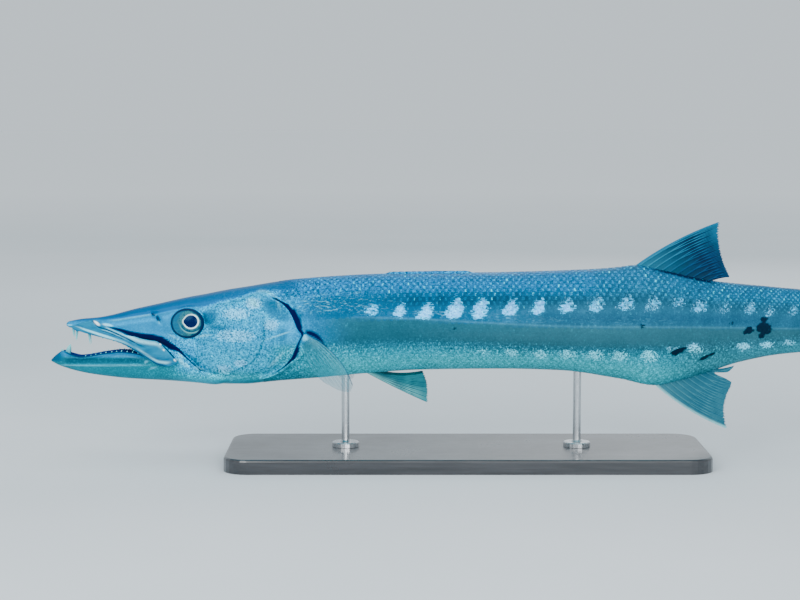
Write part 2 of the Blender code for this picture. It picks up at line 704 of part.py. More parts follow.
def pelvic_fin(name, side):
    middle = PELVIC_START + PELVIC_BASE / 2
    foot = on_skin(middle, BELLY(middle) + 1.2, side) / MM

    def place(a, b, off):
        out = b * math.sin(PELVIC_SPLAY) - off * math.cos(PELVIC_SPLAY)
        down = b * math.cos(PELVIC_SPLAY) + off * math.sin(PELVIC_SPLAY)
        return point(PELVIC_START + a, foot.y + side * out, foot.z - down)

    made = fin(name, PELVIC_RAYS, 6,
               base=lambda u: (PELVIC_BASE * u, 0),
               edge=lambda u: (PELVIC_EDGE_ALONG(u), PELVIC_EDGE_DOWN(u)),
               bow=PELVIC_BOW, thick=PELVIC_THICK, inward=(0, -1), place=place, root=PELVIC_ROOT)
    return cut(made, trunk("breast", NECK, 500, grow=GAP))


def pectoral_fin(name, side):
    foot = on_skin(PECTORAL_S, PECTORAL_H, side) / MM

    def place(a, b, off):
        back = a * math.cos(PECTORAL_SLANT) - b * math.sin(PECTORAL_SLANT)
        down = a * math.sin(PECTORAL_SLANT) + b * math.cos(PECTORAL_SLANT)
        out = PECTORAL_SPREAD * a - PECTORAL_CURL * a * a + off
        return point(PECTORAL_S + back, foot.y + side * out, PECTORAL_H - down)

    made = fin(name, PECTORAL_RAYS, 6,
               base=lambda u: (0, PECTORAL_BASE * (u - 0.5)),
               edge=lambda u: (PECTORAL_EDGE_ALONG(u), PECTORAL_EDGE_DOWN(u)),
               bow=PECTORAL_BOW, thick=PECTORAL_THICK, inward=(-1, 0), place=place,
               root=PECTORAL_ROOT)
    return cut(made, trunk("flank", NECK, 420, grow=GAP))


# --- Stand --------------------------------------------------------------------------------------


def stand_board():
    bpy.ops.mesh.primitive_cube_add(size=1, location=(0, 0, BASE_THICK / 2 * MM))
    board = bpy.context.active_object
    board.name = "stand_base"
    board.data.transform(Matrix.Diagonal((BASE_LENGTH * MM, BASE_WIDTH * MM, BASE_THICK * MM, 1)))
    shape = bmesh.new()
    shape.from_mesh(board.data)
    uprights = [e for e in shape.edges if abs(e.verts[0].co.z - e.verts[1].co.z) > MM]
    bmesh.ops.bevel(shape, geom=uprights, offset=BASE_CORNER * MM, segments=6, profile=0.5,
                    affect="EDGES")
    top = [e for e in shape.edges if min(v.co.z for v in e.verts) > (BASE_THICK / 2 - 0.01) * MM]
    bmesh.ops.bevel(shape, geom=top, offset=BASE_EDGE * MM, segments=2, profile=0.5,
                    affect="EDGES")
    shape.to_mesh(board.data)
    shape.free()
    for owner in list(board.users_collection):
        owner.objects.unlink(board)
    model.objects.link(board)
    board.data.materials.append(BOARD)
    return board


def rod_profile(reach):
    """The outer side of a rod with its foot flange, from the top down, as (radius, height)."""
    return [(0, reach), (ROD_RADIUS, reach), (ROD_RADIUS, FLANGE_THICK + 2),
            (ROD_RADIUS + 2, FLANGE_THICK), (FLANGE_RADIUS - 1, FLANGE_THICK),
            (FLANGE_RADIUS, FLANGE_THICK - 1), (FLANGE_RADIUS, 0), (0, 0)]


def stand_rod(name, s):
    mesh = bpy.data.meshes.new(name)
    outline = rod_profile(AXIS_HEIGHT - BASE_THICK + BELLY(s) + 12)
    mesh.from_pydata([(r * MM, 0, z * MM) for r, z in outline],
                     [(i, i + 1) for i in range(len(outline) - 1)], [])
    rod = bpy.data.objects.new(name, mesh)
    model.objects.link(rod)
    rod.location = ((SNOUT_X + s) * MM, 0, (BASE_THICK + GAP) * MM)
    turn = rod.modifiers.new("turn", "SCREW")
    turn.steps = turn.render_steps = 20
    turn.use_merge_vertices = True
    turn.merge_threshold = 0.00001
    mesh.materials.append(STEEL)
    return cut(rod, trunk("rest", NECK, VENT, grow=GAP))


# --- Assembly -----------------------------------------------------------------------------------

shade(head(), lower_jaw(), tongue())
for hand, side in SIDES:
    shade(lip("upper_jaw_" + hand, side), gill_cover("gill_cover_" + hand, side))
    shade(eye("eye_" + hand, side, EYE))
shade(
    cut(trunk("torso_front", NECK + GAP, MID_TRUNK, SKIN), gill_pocket(LEFT), gill_pocket(RIGHT),
        crest_ridge("groove", grow=GAP)),
    trunk("torso_rear", MID_TRUNK + GAP, VENT, SKIN),
    trunk("tail_base", VENT + GAP, STALK, SKIN),
    trunk("tail_stalk", STALK + GAP, TAIL_END, SKIN),
)
shade(first_dorsal_fin(), second_dorsal_fin(), anal_fin())
shade(tail_lobe("tail_fin_upper", 1), tail_lobe("tail_fin_lower", -1))
for hand, side in SIDES:
    shade(pelvic_fin("pelvic_fin_" + hand, side), pectoral_fin("pectoral_fin_" + hand, side))
stand_board()
for place, s in ROD_PLACES:
    shade(stand_rod("stand_rod_" + place, s))
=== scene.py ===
import json
import math
import bpy
import numpy as np
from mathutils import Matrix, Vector

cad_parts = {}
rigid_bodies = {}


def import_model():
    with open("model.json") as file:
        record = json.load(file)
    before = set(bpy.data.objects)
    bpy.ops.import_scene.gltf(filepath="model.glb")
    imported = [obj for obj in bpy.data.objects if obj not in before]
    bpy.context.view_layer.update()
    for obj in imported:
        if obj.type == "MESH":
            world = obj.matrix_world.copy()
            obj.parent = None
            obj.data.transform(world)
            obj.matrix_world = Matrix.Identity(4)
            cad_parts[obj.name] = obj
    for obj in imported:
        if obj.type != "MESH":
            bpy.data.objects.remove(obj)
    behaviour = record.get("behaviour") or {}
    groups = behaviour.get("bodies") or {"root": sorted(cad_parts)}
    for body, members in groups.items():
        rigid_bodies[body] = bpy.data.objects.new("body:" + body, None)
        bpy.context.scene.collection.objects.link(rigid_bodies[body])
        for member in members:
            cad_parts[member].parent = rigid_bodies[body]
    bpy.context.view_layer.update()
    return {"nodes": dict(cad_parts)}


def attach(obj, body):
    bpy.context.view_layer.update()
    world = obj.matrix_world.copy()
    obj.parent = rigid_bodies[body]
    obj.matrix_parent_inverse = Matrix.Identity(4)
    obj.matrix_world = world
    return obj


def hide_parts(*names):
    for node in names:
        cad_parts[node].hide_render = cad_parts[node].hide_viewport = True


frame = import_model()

# Great barracuda on its stand. On the fish, s is the distance behind the tip of the snout, y the
# distance from the middle plane (the fish's left is -y) and h the height above its axis, all in mm.
mm = 0.001
snoutTip = -501.0
axisHeight = 172.0
rng = np.random.default_rng(11)  # the order of its draws sets the scales and the teeth
sides = ((-1, "Left", "left"), (1, "Right", "right"))


def curve(*knots):  # smooth through (place, value) knots, level past both ends
    places, values = np.array(knots, float).T
    steps = np.diff(places)
    slopes = np.diff(values) / steps
    ahead, behind = slopes[1:], slopes[:-1]
    total = np.where(ahead + behind == 0, 1, ahead + behind)
    inner = np.where(ahead * behind <= 0, 0.0, 2 * ahead * behind / total)
    tangents = np.concatenate([slopes[:1], inner, slopes[-1:]])

    def at(place):
        place = np.clip(np.asarray(place, float), places[0], places[-1])
        i = np.clip(np.searchsorted(places, place, side="right") - 1, 0, len(steps) - 1)
        t = (place - places[i]) / steps[i]
        rise = (3 - 2 * t) * t * t
        turn = (1 - t) * tangents[i] - t * tangents[i + 1]
        return values[i] + rise * (values[i + 1] - values[i]) + t * (1 - t) * steps[i] * turn

    return at


def step(low, high, value):  # 0 below low, 1 above high, smooth between
    t = np.clip((np.asarray(value, float) - low) / (high - low), 0, 1)
    return t * t * (3 - 2 * t)


def fall(low, high, value):  # 1 below low, 0 above high
    return 1 - step(low, high, value)


def span(value, a, b, c, d):  # rises from a to b and falls from c to d
    return step(a, b, value) * fall(c, d, value)


def bump(value, centre, spread):
    return np.exp(-(((np.asarray(value, float) - centre) / spread) ** 2))


def spotRadius(s, h, at, height, long, tall, slant=0.0):  # 1 on the edge of a turned oval
    a = (s - at) * math.cos(slant) + (h - height) * math.sin(slant)
    b = (h - height) * math.cos(slant) - (s - at) * math.sin(slant)
    return np.hypot(a / long, b / tall)


def oval(s, h, spot, start=0.6, end=1.2):  # 1 inside the oval, with a soft edge
    return fall(start, end, spotRadius(s, h, *spot))


trunk = {  # the plain section at each s; the powers tell how square it is above and below
    "length": 962.0,
    "back": curve((0, 4), (18, 7.5), (42, 10), (92, 20.5), (143, 32), (205, 44), (280, 56),
                  (400, 63.5), (543, 65.5), (650, 69), (690, 72), (711, 74.5), (743, 68.5),
                  (806, 55), (868, 48.5), (962, 40)),
    "belly": curve((0, -2), (18, -5), (92, -13), (118, -18), (130, -25), (143, -34), (156, -46),
                   (168, -60), (180, -70.5), (200, -74), (222, -74), (268, -69), (318, -65),
                   (378, -59.5), (448, -55), (543, -54), (618, -56), (693, -67), (736, -75.5),
                   (768, -69), (811, -56), (842, -46), (893, -36), (962, -30)),
    "half": curve((0, 2.5), (5, 5), (18, 8.5), (42, 12), (92, 18.5), (143, 26), (205, 35),
                  (280, 43), (355, 47), (550, 49.5), (640, 48.5), (711, 44), (760, 39), (806, 33),
                  (868, 25), (918, 18), (945, 11), (962, 5)),
    "widest": curve((0, 0), (42, -3), (143, -8), (205, -9), (280, -5), (400, 2), (806, 0),
                    (962, 5)),
    "backPower": curve((0, 2.2), (60, 2.6), (143, 3), (205, 2.8), (280, 2.4), (400, 2.1),
                       (660, 2), (711, 1.65), (770, 1.9), (868, 2.1), (962, 2.6)),
    "bellyPower": curve((0, 2.2), (60, 3), (120, 3.2), (156, 2.6), (205, 2.3), (400, 2.1),
                        (660, 2), (736, 1.65), (811, 1.9), (868, 2.1), (962, 2.6)),
}
gill = {  # the cover's free edge and the bone line before it as s at each h, and how far it gapes there
    "rear": curve((-64, 243), (-56, 262), (-47, 274), (-37, 283), (-26, 288), (-13, 294),
                  (-7.5, 296.5), (0, 291.5), (11, 287), (22, 281), (31, 272), (38, 258)),
    "front": curve((-64, 196), (-55, 211), (-39.5, 235.6), (-22, 245.5), (-5.5, 249), (25, 247.5),
                   (38, 243)),
    "open": curve((-62, 0.9), (-50, 2.2), (-41, 3.6), (-35, 6.6), (-27, 6.8), (-20, 2.8), (-9, 2.2),
                  (-2, 5.8), (12, 8), (24, 6.6), (36, 4.2)),
    "proud": 1.5, "slitDepth": 3.8, "shoulder": 9.4,
}
coatDepth = 0.6  # the body's skin lies this much lower, under its scales
# place, half length and half height of the eye's opening, height of its rim and depth of its socket
eyes = {"s": 155.4, "h": 5.5, "long": 19.2, "tall": 16.8, "rimProud": 0.9, "socket": 7.0}
nostrils = ((111.5, 15, 3.4, -0.5), (117.6, 10.6, 4.8, -1.05))  # s, h, half length, slant
ridges = {  # lines of the skull along the side, as h at each s
    "brow": curve((0, 4.5), (36, 6.8), (60, 7.8), (85, 11.7), (106, 15.1), (120, 17),
                  (135, 20.5), (156, 24.6), (174, 25.5), (188, 29.7), (221, 38), (236, 43),
                  (264, 46)),
    "cheek": curve((92, -1), (130, -8), (170, -20), (205, -38), (232, -52)),
}
slit = {  # the cleft over the upper jaw plate, carved in and painted with shade, as the h of its two edges at each s
    "upper": curve((50, 0.5), (59, -1), (69, -2.6), (82, -5.7), (94.5, -7.8), (107, -9), (120, -11.3),
                   (126, -13.7), (132, -17.5), (138, -22.5), (144, -27.7), (149, -32.9),
                   (157, -41.2), (164.5, -48.5), (171, -53.8)),
    "lower": curve((50, -1), (59, -2.4), (67, -5), (80, -11), (95, -17), (105, -19), (115, -20),
                   (118.5, -20.5), (124.5, -23.5), (132, -28.4), (141.5, -30.9), (146, -33.8),
                   (150, -37.2), (155.5, -42), (164.5, -49.8), (171, -55)),
    "branch": curve((119, -20.5), (125.5, -24.9), (129, -28.7), (133, -32.4), (138, -38.7),
                    (141, -43)),
}


def inSlit(s, h, soft=0.8):
    inside = step(-soft, soft * 0.4, slit["upper"](s) - h) * step(-soft, soft, h - slit["lower"](s))
    branch = span(slit["branch"](s) - h, -0.6, 0.6, 7, 9) * span(s, 119, 122, 137, 140)
    return np.maximum(inside * span(s, 51, 60, 163, 172), branch)


def inNostril(s, h, spot):
    at, height, half, slant = spot
    return spotRadius(s, h, at, height, half, half * 0.45, slant)


def eyeRadius(s, h):  # 1 on the rim of the eye
    return spotRadius(s, h, eyes["s"], eyes["h"], eyes["long"], eyes["tall"])


def sideForm(s, turn):
    # the section's y and h at an angle, from a quarter turn at the back to minus one at the belly
    up = turn >= 0
    power = 2 / np.where(up, trunk["backPower"](s), trunk["bellyPower"](s))
    middle = trunk["widest"](s)
    reach = np.where(up, trunk["back"](s) - middle, middle - trunk["belly"](s))
    y = trunk["half"](s) * np.abs(np.cos(turn)) ** power
    return y, middle + reach * np.sign(np.sin(turn)) * np.abs(np.sin(turn)) ** power


def makeSideTable(stations=963, fine=481, shares=241):
    # the right side's points at even shares of the way round, from the back at 0 to the belly at 1
    turns = np.linspace(math.pi / 2, -math.pi / 2, fine)
    table, girth = np.zeros((stations, shares, 3)), np.zeros(stations)
    for i, s in enumerate(np.linspace(0, trunk["length"], stations)):
        y, h = sideForm(np.full(fine, s), turns)
        y[0] = y[-1] = 0
        run = np.concatenate([[0], np.cumsum(np.hypot(np.diff(y), np.diff(h)))])
        even = np.linspace(0, run[-1], shares)
        table[i] = np.stack([np.full(shares, s), np.interp(even, run, y), np.interp(even, run, h)], -1)
        girth[i] = run[-1]
    return table, girth


def tableNormals(table):
    out = np.cross(np.gradient(table, axis=1), np.gradient(table, axis=0))
    out[:, 0, 1] = out[:, -1, 1] = 0
    return out / np.maximum(np.linalg.norm(out, axis=2, keepdims=True), 1e-9)


sideTable, halfGirth = makeSideTable()
plainNormals = tableNormals(sideTable)
print("form of the trunk worked out")


def girthAt(s):  # half the way round
    return np.interp(s, np.linspace(0, trunk["length"], len(halfGirth)), halfGirth)


def lookUp(table, s, share):  # between the table's points
    i = np.clip(s / trunk["length"], 0, 1) * (table.shape[0] - 1)
    j = np.clip(share, 0, 1) * (table.shape[1] - 1)
    i0 = np.minimum(i.astype(int), table.shape[0] - 2)
    j0 = np.minimum(j.astype(int), table.shape[1] - 2)
    a, b = (i - i0)[..., None], (j - j0)[..., None]
    return ((1 - a) * (1 - b) * table[i0, j0] + (1 - a) * b * table[i0, j0 + 1]
            + a * (1 - b) * table[i0 + 1, j0] + a * b * table[i0 + 1, j0 + 1])


def headRelief(s, y, h):
    # how far the skin of the head stands out from the plain form
    behind, front = s - gill["rear"](h), s - gill["front"](h)
    gap = gill["open"](h)
    floor = step(-0.6, 0.6, behind) * fall(gap, gap + gill["shoulder"], behind)
    cover = gill["proud"] * span(behind, -34, -2, -0.6, 0.5) - gill["slitDepth"] * floor
    cover += 0.5 * bump(front, -4.5, 3.5) - 0.7 * bump(front, 0, 1.4)
    rise = h - ridges["brow"](s)
    brow = 1.2 * bump(rise, 0, 2.6) * step(20, 60, s) - bump(rise, 7, 5) * span(s, 50, 90, 200, 235)
    brow -= 0.7 * bump(rise, -8.5, 4) * span(s, 40, 70, 120, 134)
    lift = span(h, -68, -60, 33, 38) * cover + fall(225, 262, s) * brow
    lift += 0.8 * bump(h, ridges["cheek"](s), 4.5) * span(s, 95, 130, 215, 235)
    r = eyeRadius(s, h)
    lift += eyes["rimProud"] * bump(r, 1.12, 0.11) - eyes["socket"] * fall(0.78, 1.02, r)
    for spot in nostrils:
        pit = inNostril(s, h, spot)
        lift += 0.7 * bump(pit, 1.45, 0.4) - 2.6 * fall(0.5, 1.1, pit)
    palate = span(s, 6, 14, 110, 135) * fall(0.55, 0.8, np.abs(y) / trunk["half"](s))
    throat = 243 - 82 * step(0, 34, 34 - np.abs(y))
    lift -= 3.4 * inSlit(s, h) + 3.2 * palate * (h < trunk["widest"](s))
    return lift - 1.3 * bump(s, throat, 2.4) * step(-60, -68, h) * step(155, 170, s)


def bodyRelief(s, y, h):
    groove = span(s, 398, 406, 500, 510) * step(30, 45, h) * fall(1.6, 3.6, np.abs(y))
    return -coatDepth * step(0, 30, s - gill["rear"](h)) - 2.4 * groove


def onSkin(s, share, side, lift=0.0):  # points of the skin with its relief, lifted along the normals
    at = lookUp(sideTable, s, share)
    form = s, at[..., 1], at[..., 2]
    relief = np.where(s < 340, headRelief(*form), 0) + bodyRelief(*form) + lift
    at = at + lookUp(plainNormals, s, share) * relief[..., None]
    at[..., 1] *= side
    return at


def shareAt(s, h):  # how far round the side a height is
    i = int(round(float(s) / trunk["length"] * (sideTable.shape[0] - 1)))
    return float(np.interp(-h, -sideTable[i, :, 2], np.linspace(0, 1, sideTable.shape[1])))


def flank(s, h):  # the plain form's point and outward way at a height on the right side
    at, share = np.array([float(s)]), np.array([shareAt(s, h)])
    return lookUp(sideTable, at, share)[0], lookUp(plainNormals, at, share)[0]


def toWorld(points):
    return (np.asarray(points, float) + (snoutTip, 0, axisHeight)) * mm


def pick(*pieces):  # selects these alone, the first one active
    bpy.ops.object.select_all(action="DESELECT")
    for piece in reversed(pieces):
        piece.select_set(True)
        bpy.context.view_layer.objects.active = piece


def editAll():
    bpy.ops.object.mode_set(mode="EDIT")
    bpy.ops.mesh.select_all(action="SELECT")


def leaveEdit():
    bpy.ops.object.mode_set(mode="OBJECT")


def startGrid(name, across, along):  # a plane of across by along faces, from 0 to 1 both ways
    pick()
    bpy.ops.mesh.primitive_grid_add(x_subdivisions=across, y_subdivisions=along, size=1)
    piece = bpy.context.active_object
    piece.name = piece.data.name = name
    return piece


def readNumbers(items, key, width=1):
    flat = np.zeros(len(items) * width, int if key.endswith(("index", "total")) else float)
    items.foreach_get(key, flat)
    return flat if width == 1 else flat.reshape(-1, width)


def readPoints(piece):
    return readNumbers(piece.data.vertices, "co", 3)


def setPoints(piece, points):
    piece.data.vertices.foreach_set("co", np.asarray(points, float).ravel())
    piece.data.update()


def fromWorld(piece):  # s, y and h of a piece's points
    return (readPoints(piece) / mm - (snoutTip, 0, axisHeight)).T


def put(piece, name, values):  # a number on each point, for the materials
    layer = piece.data.attributes.get(name) or piece.data.attributes.new(name, "FLOAT", "POINT")
    layer.data.foreach_set("value", np.asarray(values, np.float32).ravel())


def smooth(piece, degrees=40):
    pick(piece)
    bpy.ops.object.shade_smooth_by_angle(angle=math.radians(degrees))


def closeUp(piece, degrees=40, threshold=0.00001):
    # welds the seam, fills the ends, turns faces outwards and shades the piece smooth
    pick(piece)
    editAll()
    bpy.ops.mesh.remove_doubles(threshold=threshold)
    bpy.ops.mesh.fill_holes(sides=0)
    bpy.ops.mesh.select_all(action="SELECT")
    bpy.ops.mesh.normals_make_consistent(inside=False)
    leaveEdit()
    smooth(piece, degrees)


def joined(pieces):
    pick(*pieces)
    bpy.ops.object.join()
    return bpy.context.active_object


def tube(name, around, along, place):
    # a grid rolled round: place(u, v) gives mm points for u round the form and v along it
    piece = startGrid(name, around, along)
    flat = readPoints(piece) + 0.5
    u = np.round(flat[:, 0] * around) / around
    v = np.round(flat[:, 1] * along) / along
    setPoints(piece, toWorld(place(u, v)))
    closeUp(piece)
    return piece


def slab(name, across, along, place):
    # a grid given a back: place(u, v, face) gives mm points, with face -1 or 1
    piece = startGrid(name, across, along)
    editAll()
    bpy.ops.mesh.extrude_region_move(TRANSFORM_OT_translate={"value": (0, 0, 1)})
    leaveEdit()
    flat = readPoints(piece)
    u = np.round((flat[:, 0] + 0.5) * across) / across
    v = np.round((flat[:, 1] + 0.5) * along) / along
    put(piece, "across", u)
    put(piece, "along", v)
    setPoints(piece, toWorld(place(u, v, np.where(flat[:, 2] > 0.5, 1.0, -1.0))))
    closeUp(piece, threshold=0.000001)
    return piece


# skin with the lower jaw in one
skinGrid = {"around": 184, "headStep": 1.15, "bodyStep": 5.0}  # faces round, and their lengths
jaw = {  # lines of the lower jaw as h at each s, and the half width
    "wall": 3.4, "lip": 4.0, "outerPower": 2 / 2.3, "innerPower": 2 / 2.6,
    "rim": curve((-19, -43), (-12, -36.5), (-4, -32), (7, -36), (18, -38.5), (49, -34), (68, -32),
                 (86, -33.5), (111, -40), (150, -50), (208, -62)),
    "chin": curve((-19, -46), (-8, -51.5), (11, -57.5), (30, -61.5), (55, -65), (80, -67.5),
                  (130, -70), (168, -72.8), (186, -74.5), (208, -71)),
    "half": curve((-19, 1.5), (-14, 4.5), (-4, 7.5), (18, 11), (42, 13), (68, 14.5), (92, 16),
                  (118, 19), (143, 22), (168, 25.5), (186, 26.5), (208, 18)),
    "floor": curve((-6, -40), (10, -46), (40, -50), (100, -52), (160, -58)),
    "panel": curve((-19, -44), (0, -44.4), (30, -44.4), (75, -43.8), (105, -43)),
    "topLine": curve((-4, -41), (7.5, -40.5), (33.6, -38.1), (42.5, -36.6), (67.5, -37.6),
                     (89.6, -39.2), (100, -41.3)),
}


def findEdge(shares):  # where the gill cover's free edge crosses each share of the way round
    places = np.arange(200.0, 320.0, 0.25)
    found = []
    for share in shares:
        h = lookUp(sideTable, places, np.full(len(places), share))[:, 2]
        found.append(places[np.nonzero(places > gill["rear"](h))[0][0]])
    return np.convolve(np.pad(found, 1, mode="edge"), (0.25, 0.5, 0.25), mode="valid")


edgeShares = np.linspace(0, 1, 121)
edgePlaces = findEdge(edgeShares)


def gillEdge(share):
    return np.interp(share, edgeShares, edgePlaces)


rowPlaces = np.concatenate([  # snout, head, lip of the gill cover, body and end of the tail stalk
    [0, 0.12, 0.45, 1.0, 1.8, 2.8], np.arange(4, 295, skinGrid["headStep"]),
    [295.2, 296, 296.35, 297.2, 298.4, 299.8, 302, 304.5],
    np.arange(306, 334, 1.4), np.arange(336, 940, skinGrid["bodyStep"]),
    np.linspace(942, trunk["length"], 8)])
jawRows = np.concatenate([[-19.8], np.linspace(-19, 20, 34), np.linspace(22, 208, 96)])


def skinPlace(u, v):
    s = rowPlaces[np.round(v * (len(rowPlaces) - 1)).astype(int)]
    share = 1 - np.abs(1 - 2 * u)
    s = s + (gillEdge(share) - 296) * np.interp(s, (205, 296, 400), (0, 1, 0))
    at = onSkin(s, share, np.where(u < 0.5, 1.0, -1.0))
    nose = np.sqrt(np.clip(1 - (1 - np.clip(s / 4, 0, 1)) ** 2, 0, 1))
    at[:, 1] *= nose * (1 - 0.45 * step(946, 962, s))
    at[:, 2] = 0.6 + (at[:, 2] - 0.6) * np.where(s < 4, nose, 1)
    return at


def jawLoop(u, s):
    # the section's points: round the outside, over one lip, round the bowl and over the other lip
    half, rim, chin = jaw["half"](s), jaw["rim"](s), jaw["chin"](s)
    wall = np.minimum(jaw["wall"], half * 0.75)
    lip = np.minimum(jaw["lip"], (rim - chin) * 0.4)
    shoulder = rim - lip
    turn = np.pi * u / 0.55
    y = half * np.sign(np.cos(turn)) * np.abs(np.cos(turn)) ** jaw["outerPower"]
    h = shoulder - (shoulder - chin) * np.abs(np.sin(turn)) ** jaw["outerPower"]
    for start, sign in ((0.55, -1), (0.92, 1)):
        cap = (u > start) & (u <= start + 0.08)
        turn = np.pi * (1 - (u - start) / 0.08)
        y = np.where(cap, sign * (half - wall / 2) + wall / 2 * np.cos(turn), y)
        h = np.where(cap, shoulder + lip * np.sin(turn), h)
    inner = (u > 0.63) & (u <= 0.92)
    turn = np.pi * (u - 0.63) / 0.29
    reach = np.abs(np.cos(turn)) ** jaw["innerPower"]
    y = np.where(inner, -(half - wall) * np.sign(np.cos(turn)) * reach, y)
    deep = (shoulder - jaw["floor"](s)) * span(s, -10, 4, 140, 158)
    h = np.where(inner, shoulder - deep * np.abs(np.sin(turn)) ** jaw["innerPower"], h)
    middle = jaw["panel"](s)
    panel = fall(2.5, 4.2, np.abs(h - middle)) * span(s, -9, 4, 84, 104)
    ridge = bump(h, middle - 5.6, 1.4) * span(s, -14, 0, 90, 110)
    return np.where(u <= 0.55, y - np.sign(y) * (panel - 0.6 * ridge), y), h


def jawPlace(u, v):
    s = jawRows[np.round(v * (len(jawRows) - 1)).astype(int)]
    y, h = jawLoop(u, np.maximum(s, -19))
    close = np.where(s < -19, 0.35, 1)  # the first row draws in to shut the tip
    return np.stack([s, y * close, -44.4 + (h + 44.4) * close], axis=-1)


def cheekPlace(side):  # the skin that closes the corner of the mouth behind the jaw plate
    def place(u, v, face):
        s = 102 + 76 * v
        high = np.minimum(trunk["belly"](s) + 7, -14)
        h = high + (jaw["rim"](s) - 3.5 - high) * u
        outer = trunk["half"](s) * 0.94 - 1.2
        y = outer + (np.minimum(jaw["half"](s) - 0.8, outer) - outer) * u
        fold = 0.5 * np.sin(0.42 * s + 0.5 * h) + 0.35 * np.sin(0.9 * h - 0.5 * s)
        return np.stack([s, side * (y + fold * np.sin(np.pi * u) + 0.9 * face), h], axis=-1)

    return place


def findSeam(mesh, parts):  # points where faces of different parts meet
    owner = np.repeat(readNumbers(mesh.polygons, "material_index"), readNumbers(mesh.polygons, "loop_total"))
    corner = readNumbers(mesh.loops, "vertex_index")
    touched = [np.bincount(corner[owner == k], minlength=len(mesh.vertices)) > 0 for k in range(parts)]
    return np.sum(touched, axis=0) > 1


def makeSkin():
    forms = [slab("cheek" + word, 30, 64, cheekPlace(side)) for side, word, _ in sides]
    skin = tube("skin", skinGrid["around"], len(rowPlaces) - 1, skinPlace)
    forms.insert(0, tube("jawForm", 112, 130, jawPlace))
    for form in [skin] + forms:
        form.data.materials.append(bpy.data.materials.new("mark" + form.name))
    for form in forms:
        union = skin.modifiers.new("join", "BOOLEAN")
        union.operation, union.solver, union.object = "UNION", "MANIFOLD", form
        union.material_mode = "TRANSFER"
        pick(skin)
        bpy.ops.object.modifier_apply(modifier="join")
        bpy.data.objects.remove(form)
    mesh = skin.data
    seam = findSeam(mesh, len(forms) + 1)
    mesh.vertices.foreach_set("select", seam)
    for items in (mesh.edges, mesh.polygons):
        items.foreach_set("select", np.zeros(len(items), bool))
    bpy.ops.object.mode_set(mode="EDIT")
    bpy.ops.mesh.select_mode(type="VERT")
    for again in range(3):
        bpy.ops.mesh.select_more()
    bpy.ops.mesh.vertices_smooth(factor=0.5, repeat=6)
    leaveEdit()
    smooth(skin, 50)
    print("skin:", len(mesh.polygons), "faces,", int(seam.sum()), "points on the jaw's seam")
    return skin


skin = makeSkin()

lips = {  # lines of the upper jaw plates as h at each s, how far they stand out and how thick they are
    "front": 4.0, "rear": 141.0,
    "top": curve((4, -0.5), (9, 0.2), (20, 3.6), (34, 7.2), (45, 3.6), (61, -2.8), (72, -6.4),
                 (80, -8.8), (88, -11.9), (95, -14.5), (105, -16.4), (115, -17.6), (121, -21.4),
                 (126, -26.4), (130, -30.8), (134, -35.2), (138, -39.6), (141, -43)),
    "edge": curve((4, -2.5), (9, -3.6), (20, -8), (36, -12.2), (51, -15.8), (61, -18.4),
                  (70, -21.4), (80, -26.4), (90, -32), (101, -38.9), (111, -45), (117.5, -48),
                  (127.5, -49.3), (134, -48.3), (139, -46), (141, -44.6)),
    "proud": curve((4, 0.1), (9, 0.3), (42, 0.9), (92, 1.3), (141, 2.4)),
    "thick": curve((4, 2), (9, 2.4), (30, 3.2), (141, 3.4)),
    "seam": curve((4, 5), (20, 7.5), (33.6, 6.2), (41.6, -1.2), (55, -5.3), (67.5, -10.4),
                  (76.3, -14.4), (84, -18), (92.5, -22.9), (101.3, -26.5), (120, -34)),
    "strip": curve((10, -0.4), (17.5, -2.2), (22.5, -4), (33.6, -7.5), (42.5, -10.3), (52.5, -13.2),
                   (62.5, -16.1), (72.5, -19.2), (80, -22.4), (90, -28)),
}


def lipSeam(s, h):  # the groove between the two bones of a plate
    return bump(h, lips["seam"](s), 0.7) * span(s, 31, 36, 92, 106)


def lipLine(s, h):  # a finer line under the groove
    return bump(h, lips["seam"](s) - 3, 0.5) * span(s, 44, 50, 70, 80)


def lipPlace(side):
    def place(u, v):
        s = lips["front"] + (lips["rear"] - lips["front"]) * (v - 0.06 * np.sin(2 * np.pi * v))
        top, edge, thick = lips["top"](s), lips["edge"](s), lips["thick"](s) / 2
        across, up = np.cos(2 * np.pi * u), np.sin(2 * np.pi * u)
        h = (top + edge) / 2 + (top - edge) / 2 * np.sign(up) * np.abs(up) ** 0.8
        swell = 0.6 * bump(h, lips["strip"](s), 3) * span(s, 14, 40, 80, 100)
        swell += 0.45 * bump(h, lips["seam"](s) + 2.4, 1.6) * span(s, 45, 60, 90, 110)
        swell = step(0, 0.3, across) * (swell - 0.9 * lipSeam(s, h) - 0.5 * lipLine(s, h))
        out = thick * np.sign(across) * np.abs(across) ** 0.6 + swell
        return np.stack([s, side * (trunk["half"](s) + lips["proud"](s) - thick + out), h], axis=-1)

    return place


plates = {side: tube("upperJaw" + word, 76, 170, lipPlace(side)) for side, word, _ in sides}
print("upper jaw plates shaped")

# half lengths of the ball, how far it is sunk, and how far back and up the pupil is
eyeball = {"long": 21.2, "tall": 18.6, "deep": 7.4, "sunk": 3.3, "pupilBack": 6.1, "pupilUp": 2.5,
           "segments": 112, "rings": 72}


